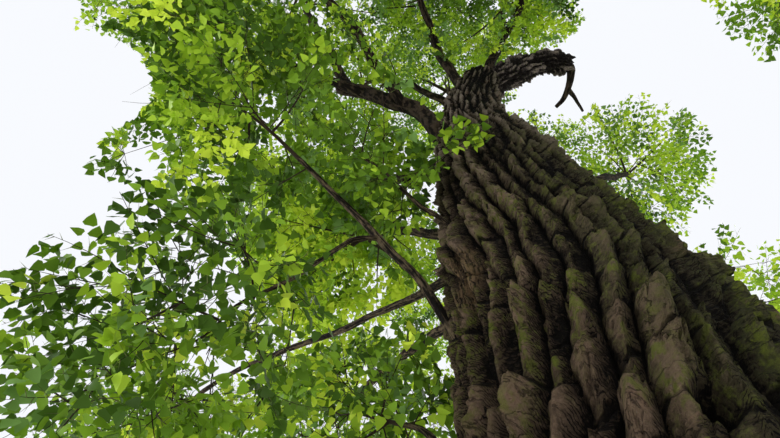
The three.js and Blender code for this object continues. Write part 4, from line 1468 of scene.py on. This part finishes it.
def fine_spray(space, fork, tip, place, pocket, size, draw):
    """A spray on a finer twig, as long as the space lets it grow; nothing where it is too short."""
    part, splaying = place
    way = unit(tip - fork)
    splay = unit(np.cross(draw.uniform(-1, 1, 3), way)) * splaying
    onward = way * (1 - SPRAY_ONWARD * splaying)
    outward = (0 if pocket else FINE_OUTWARD * splaying) * unit(tip - space.centre)
    along = unit(onward + FINE_SPLAY * splay + outward)
    root = fork + (tip - fork) * min(part, POCKET_END if pocket else FINE_END)
    length = size * FINE_SPRAY_SHARE * draw.uniform(0.7, 1.1)
    while length > SHORTEST_SPRAY and not space.grows(root + along * length):
        length *= SPRAY_SHRINKING
    if length <= SHORTEST_SPRAY:
        return None
    side = unit(np.cross(along, draw.uniform(-1, 1, 3)))
    return {"root": root, "tip": root + along * length, "side": side}


def grow_fine(space, stem, twigs, size, count, draw):
    """Finer twigs by the same rule, their tips far from each other, and sprays along them."""
    cloud = draw.uniform(-1, 1, (FINE_CLOUD, 3)) * space.long + space.centre
    cloud = cloud[space.grows(cloud, FINE_REACH)]
    away = np.min([np.linalg.norm(cloud - twig[1], axis=1) for twig in twigs], axis=0)
    forks = forks_of(stem, twigs)
    forks += [(space.limb.at(part), BOUGH_FORK_THICKNESS * space.limb.radius(part), 0.0)
              for part in BOUGH_FORKS]
    pockets = [centre for centre, _ in space.pockets]
    fine, sprays = [], []
    for order in range(count + len(pockets)):
        pocket = order < len(pockets)
        tip = pockets[order] if pocket else cloud[int(np.argmax(away))]
        away = np.minimum(away, np.linalg.norm(cloud - tip, axis=1))
        fork, radius, path = nearest_fork(forks, tip)
        radius = max(THINNEST_BRANCHLET, FINE_RADIUS * radius)
        if not pocket and touches_limb(fork + (tip - fork) * FINE_FREE, tip, TWIG_CLEARANCE):
            continue
        fine.append((fork, tip, radius, path))
        forks += forks_of([], fine[-1:])
        for place in POCKET_SPRAYS if pocket else FINE_SPRAYS:
            spray = fine_spray(space, fork, tip, place, pocket, size, draw)
            if spray:
                sprays.append(spray)
    return fine, sprays


def bowed(root, tip, bow, part):
    """Points along a rib that bows to one side."""
    return root + (tip - root) * part + 4 * bow * part * (1 - part)


def grow_shoots(spray, settings, crowding, draw):
    """A spray's bowed rib and its face, and the starts, ways and reaches of its shoots."""
    root, tip, side = spray["root"], spray["tip"], spray["side"]
    length = np.linalg.norm(tip - root)
    along = (tip - root) / length
    face = np.cross(along, side)
    bow = (draw.uniform(-RIB_BOW, RIB_BOW) * side + draw.uniform(-RIB_BOW, RIB_BOW) * face) * length
    rib = bowed(root, tip, bow, np.linspace(0, 1, RIB_POINTS)[:, None])
    count = max(LEAST_SHOOTS, int(length * crowding / settings.shoot_gap))
    place = (np.arange(count) + draw.uniform(0.2, 0.8, count)) / count * 0.92 + 0.08
    hand = np.where(np.arange(count) % 2, 1.0, -1.0)
    outline = np.where(place < SPRAY_SHOULDER, 0.35 + 0.65 * place / SPRAY_SHOULDER,
                       1 - 0.8 * (place - SPRAY_SHOULDER) / (1 - SPRAY_SHOULDER))
    reach = 0.62 * SPRAY_WIDTH * length * outline * draw.uniform(0.75, 1.15, count)
    way = unit(along * draw.uniform(0.45, 0.95, (count, 1)) + side * (0.9 * hand)[:, None]
               + face * draw.uniform(-0.6, 0.6, (count, 1)) - UP * 0.1)
    start = np.concatenate([bowed(root, tip, bow, place[:, None]), tip[None]])
    way = np.concatenate([way, along[None]])
    return rib, face, start, way, np.append(np.maximum(SHORTEST_SHOOT, reach), END_SHOOT)


def grow_leaves(face, start, way, reach, settings, manner, draw):
    """Leaves along the shoots of a spray: their bases, blades, normals and lengths."""
    leaf_share, crowding = manner
    numbers = np.maximum(2, (reach * crowding / settings.leaf_gap).astype(int) + 1)
    shoot = np.repeat(np.arange(len(reach)), numbers)
    step = np.concatenate([(np.arange(number) + 1) / number for number in numbers])
    hang = np.where(np.arange(len(shoot)) % 2, 1.0, -1.0)[:, None]
    stray = draw.normal(0, 1, (len(shoot), 3))
    shoot_way = way[shoot]
    across = unit(np.cross(shoot_way, face + 0.3 * stray))
    base = start[shoot] + shoot_way * (reach[shoot] * step)[:, None]
    end_leaf = (step == 1)[:, None]
    petiole = unit(shoot_way * 0.6 + across * hang * np.where(end_leaf, 0.1, 0.8) - UP * 0.25
                   + 0.2 * stray)
    blade = unit(petiole - UP * 0.35 + 0.22 * draw.normal(0, 1, (len(shoot), 3)))
    normal = UP * 0.75 + 0.55 * draw.normal(0, 1, (len(shoot), 3))
    normal = unit(normal - blade * (normal * blade).sum(axis=1, keepdims=True))
    length = settings.leaf_length * leaf_share * draw.uniform(0.7, 1.12, len(shoot))
    return base + petiole * PETIOLE, blade, normal, length


def grow_spray(spray, settings, manner, draw):
    """One spray: its rib, the shoots on both sides, and leaves along them."""
    rib, face, start, way, reach = grow_shoots(spray, settings, manner[1], draw)
    leaves = grow_leaves(face, start, way, reach, settings, manner, draw)
    return rib, np.stack([start, start + way * reach[:, None]], axis=1), leaves


# Leaf outlines: along the blade, across it, and how far the corner hangs under it
NEAR_LEAF = np.array([
    (0.0, 0.0, 0.0), (0.42, 0.0, 0.04), (1.06, 0.0, -0.13), (-0.03, 0.27, 0.02), (0.17, 0.48, -0.03),
    (0.55, 0.33, -0.02), (-0.03, -0.27, 0.02), (0.17, -0.48, -0.03), (0.55, -0.33, -0.02)])
NEAR_LEAF_FACES = np.array([
    (0, 3, 1), (3, 4, 1), (4, 5, 1), (5, 2, 1), (6, 0, 1), (7, 6, 1), (8, 7, 1), (2, 8, 1)])
FAR_LEAF = np.array([
    (0.0, 0.0, 0.03), (1.06, 0.0, -0.06), (0.12, 0.46, -0.03), (0.54, 0.32, -0.03),
    (0.12, -0.46, -0.03), (0.54, -0.32, -0.03)])
FAR_LEAF_FACES = np.array([(0, 2, 3), (0, 3, 1), (0, 5, 4), (0, 1, 5)])


def leaf_mesh(base, blade, normal, length, outline, faces):
    """Corners and triangles of many leaves of one outline."""
    axes = np.stack([blade, np.cross(normal, blade), normal], axis=1)
    corners = base[:, None] + length[:, None, None] * np.einsum("ka,nab->nkb", outline, axes)
    faces = faces + np.arange(len(base))[:, None, None] * len(outline)
    return corners.reshape(-1, 3), faces.reshape(-1, 3)


def bent_paths(starts, ends, steps, share, draw):
    """Paths from starts to ends, each bowed to one side."""
    parts = np.linspace(0, 1, steps)[None, :, None]
    bow = draw.uniform(-1, 1, (len(starts), 1, 3)) * share
    bow = bow * np.linalg.norm(ends - starts, axis=1)[:, None, None]
    return starts[:, None] + (ends - starts)[:, None] * parts + bow * parts * (1 - parts)


def grow_mass(order, settings):
    """A mass's twig mesh and leaf mesh, the leaves with their shades."""
    space = all_spaces()[order]
    dice = Dice(RANDOM_START * (order + MASS_SEEDS))
    draw = np.random.default_rng(RANDOM_START + order)
    stem, twigs, sprays, size = grow_coarse(space, dice)
    fine, fine_sprays = grow_fine(space, stem, twigs, size, settings.fine_twigs, draw)
    manner = LEAF_MANNERS.get(space.name, (1, 1))
    mix = SHADE_MIXES[space.mix]
    ribs, shoots, leaves, shades = [], [], [], []
    for spray in sprays + fine_sprays:
        rib, shoot, leaf = grow_spray(spray, settings, manner, draw)
        ribs.append(rib)
        shoots.append(shoot)
        leaves.append(leaf)
        shades.append(np.full(len(leaf[0]), draw.choice(len(mix), p=mix)))
    base, blade, normal, length = (np.concatenate(group) for group in zip(*leaves))
    keep = space.grows(base + blade * length[:, None])
    shapes = (NEAR_LEAF, NEAR_LEAF_FACES) if space.name in CLOSE_MASSES else (FAR_LEAF, FAR_LEAF_FACES)
    corners, faces = leaf_mesh(base[keep], blade[keep], normal[keep], length[keep], *shapes)
    leaf_shades = np.repeat(np.concatenate(shades)[keep], len(shapes[1]))
    shoots = np.concatenate(shoots)
    shoots = shoots[space.grows(shoots[:, 1])]
    wood = twig_parts(stem, twigs, fine, np.array(ribs), shoots, draw)
    return space.name + "_foliage", wood, (corners, faces, leaf_shades)


def twig_parts(stem, twigs, fine, ribs, shoots, draw):
    """The stem, twigs, ribs and shoots of a mass as one mesh, with the shade of each face."""
    line = np.array([node[0] for node in stem])
    parts = np.linspace(0, 1, STEM_MESH[0])
    path = np.array([curve_point(line, part) for part in parts])
    radii = np.interp(parts * STEM_STEPS, np.arange(STEM_STEPS + 1), [node[1] for node in stem])
    meshes = [(*tubes(path[None], radii[None], STEM_MESH[1]), 0)]
    for group, steps, sides in ((twigs, *TWIG_MESH), (fine, *FINE_MESH)):
        starts, ends, thick = (np.array([twig[i] for twig in group]) for i in range(3))
        paths = bent_paths(starts, ends, steps, TWIG_BOW, draw)
        meshes.append((*tubes(paths, thick[:, None] * np.linspace(1, TWIG_TIP, steps), sides), 0))
    lengths = np.linalg.norm(ribs[:, -1] - ribs[:, 0], axis=1)
    rib_radii = RIB_THICKNESS * np.sqrt(lengths)[:, None] * np.linspace(1, TWIG_TIP, ribs.shape[1])
    meshes.append((*tubes(ribs, rib_radii, RIB_SIDES), 0))
    meshes.append((*spikes(shoots[:, 0], shoots[:, 1], SHOOT_RADIUS), 1))
    return joined([(corners, faces, np.full(len(faces), shade)) for corners, faces, shade in meshes])


@functools.cache
def grown_crown():
    """Every mass's twigs and leaves."""
    settings = bpy.context.scene.poplar_leaves
    return [grow_mass(order, settings) for order in range(len(MASSES))]


def build_pieces(kind, which, finishes):
    """Joins the masses in order into pieces of fewer triangles than the limit."""
    batches = [[]]
    total = 0
    for mass in grown_crown():
        count = len(mass[which][1])
        if total + count > MOST_TRIANGLES:
            batches.append([])
            total = 0
        batches[-1].append(mass)
        total += count
    for number, batch in enumerate(batches):
        corners, faces, shades = joined([mass[which] for mass in batch])
        piece(f"{kind}_{number + 1}", corners, faces, finishes, [mass[0] for mass in batch],
              shades=shades)


# Stage
def build_camera(settings):
    """The camera at the photograph's place, looking up along the trunk."""
    camera = bpy.data.objects.new("camera", bpy.data.cameras.new("camera"))
    camera.data.lens = settings.lens
    camera.data.sensor_width = SENSOR_WIDTH
    camera.data.clip_end = VIEW_END
    camera.location = settings.camera_place
    camera.rotation_euler = (math.pi / 2 + settings.camera_pitch, 0, 0)
    bpy.context.scene.collection.objects.link(camera)
    bpy.context.scene.camera = camera


def build_lamp(name, strength, place):
    """A soft lamp far away, at a bearing and a rise in degrees."""
    bearing, rise = place
    lamp = bpy.data.objects.new(name, bpy.data.lights.new(name, "SUN"))
    lamp.data.energy = strength
    lamp.data.angle = math.radians(LAMP_SPREAD)
    lamp.rotation_euler = (
        math.pi / 2 - math.radians(rise), 0, math.pi / 2 + math.radians(bearing))
    bpy.context.scene.collection.objects.link(lamp)


def build_floor(settings):
    bpy.ops.mesh.primitive_circle_add(
        vertices=FLOOR_SIDES, radius=settings.floor_radius, fill_type="NGON")
    floor = bpy.context.object
    floor.name = "floor"
    floor.data.materials.append(plain_finish("floor", settings.floor_colour, ROUGHNESS["floor"]))


def build_air(settings):
    """Soft even light from all round."""
    world = bpy.data.worlds.new("soft_light")
    world.use_nodes = True
    background = world.node_tree.nodes["Background"]
    background.inputs["Color"].default_value = colour(settings.air_colour)
    background.inputs["Strength"].default_value = settings.air_strength
    bpy.context.scene.world = world
    bpy.context.scene.view_settings.view_transform = "Standard"


# Operators
class POPLAR_OT_trunk(Operator):
    """Build the trunk's bark"""

    bl_idname = "poplar.trunk"
    bl_label = "Trunk"

    def execute(self, context):
        build_trunk(context.scene.poplar_trunk)
        return {"FINISHED"}


class POPLAR_OT_boughs(Operator):
    """Build the living boughs"""

    bl_idname = "poplar.boughs"
    bl_label = "Boughs"

    def execute(self, context):
        build_boughs(context.scene.poplar_boughs)
        return {"FINISHED"}


class POPLAR_OT_dead_wood(Operator):
    """Build the broken limb, its crook and its prong"""

    bl_idname = "poplar.dead_wood"
    bl_label = "Dead wood"

    def execute(self, context):
        build_dead_wood(context.scene.poplar_boughs)
        return {"FINISHED"}


class POPLAR_OT_twigs(Operator):
    """Build the twigs of every mass"""

    bl_idname = "poplar.twigs"
    bl_label = "Twigs"

    def execute(self, context):
        settings = context.scene.poplar_leaves
        finishes = [plain_finish(name, getattr(settings, name), ROUGHNESS[name])
                    for name in ("twig_bark", "green_bark")]
        build_pieces("twigs", 1, finishes)
        return {"FINISHED"}


class POPLAR_OT_leaves(Operator):
    """Build the leaves of every mass, their shades dealt out by spray"""

    bl_idname = "poplar.leaves"
    bl_label = "Leaves"

    def execute(self, context):
        settings = context.scene.poplar_leaves
        finishes = [plain_finish("leaf_" + name, getattr(settings, name), ROUGHNESS["leaf"])
                    for name in LEAF_SHADES]
        build_pieces("leaves", 2, finishes)
        return {"FINISHED"}


class POPLAR_OT_stage(Operator):
    """Set up the camera, the floor and the soft light"""

    bl_idname = "poplar.stage"
    bl_label = "Stage"

    def execute(self, context):
        settings = context.scene.poplar_stage
        build_camera(settings)
        build_lamp("high_lamp", settings.high_strength, settings.high_place)
        build_lamp("side_lamp", settings.side_strength, settings.side_place)
        build_floor(settings)
        build_air(settings)
        return {"FINISHED"}


OPERATORS = (POPLAR_OT_stage, POPLAR_OT_trunk, POPLAR_OT_boughs, POPLAR_OT_dead_wood,
             POPLAR_OT_twigs, POPLAR_OT_leaves)


class POPLAR_PT_sidebar(Panel):
    """Lists the pieces of the poplar tree"""

    bl_idname = "POPLAR_PT_sidebar"
    bl_label = "Poplar Tree"
    bl_space_type = "VIEW_3D"
    bl_region_type = "UI"
    bl_category = "Poplar"

    def draw(self, context):
        for operator in OPERATORS:
            self.layout.operator(operator.bl_idname)


SETTINGS = {
    "poplar_trunk": TrunkSettings,
    "poplar_boughs": BoughSettings,
    "poplar_leaves": LeafSettings,
    "poplar_stage": StageSettings,
}


def register():
    for group in (*SETTINGS.values(), *OPERATORS, POPLAR_PT_sidebar):
        bpy.utils.register_class(group)
    for name, group in SETTINGS.items():
        setattr(bpy.types.Scene, name, PointerProperty(type=group))


def unregister():
    for name in SETTINGS:
        delattr(bpy.types.Scene, name)
    for group in (POPLAR_PT_sidebar, *OPERATORS, *SETTINGS.values()):
        bpy.utils.unregister_class(group)


def main():
    register()
    bpy.ops.poplar.stage()
    bpy.ops.poplar.trunk()
    bpy.ops.poplar.boughs()
    bpy.ops.poplar.dead_wood()
    bpy.ops.poplar.twigs()
    bpy.ops.poplar.leaves()


if __name__ == "__main__":
    main()
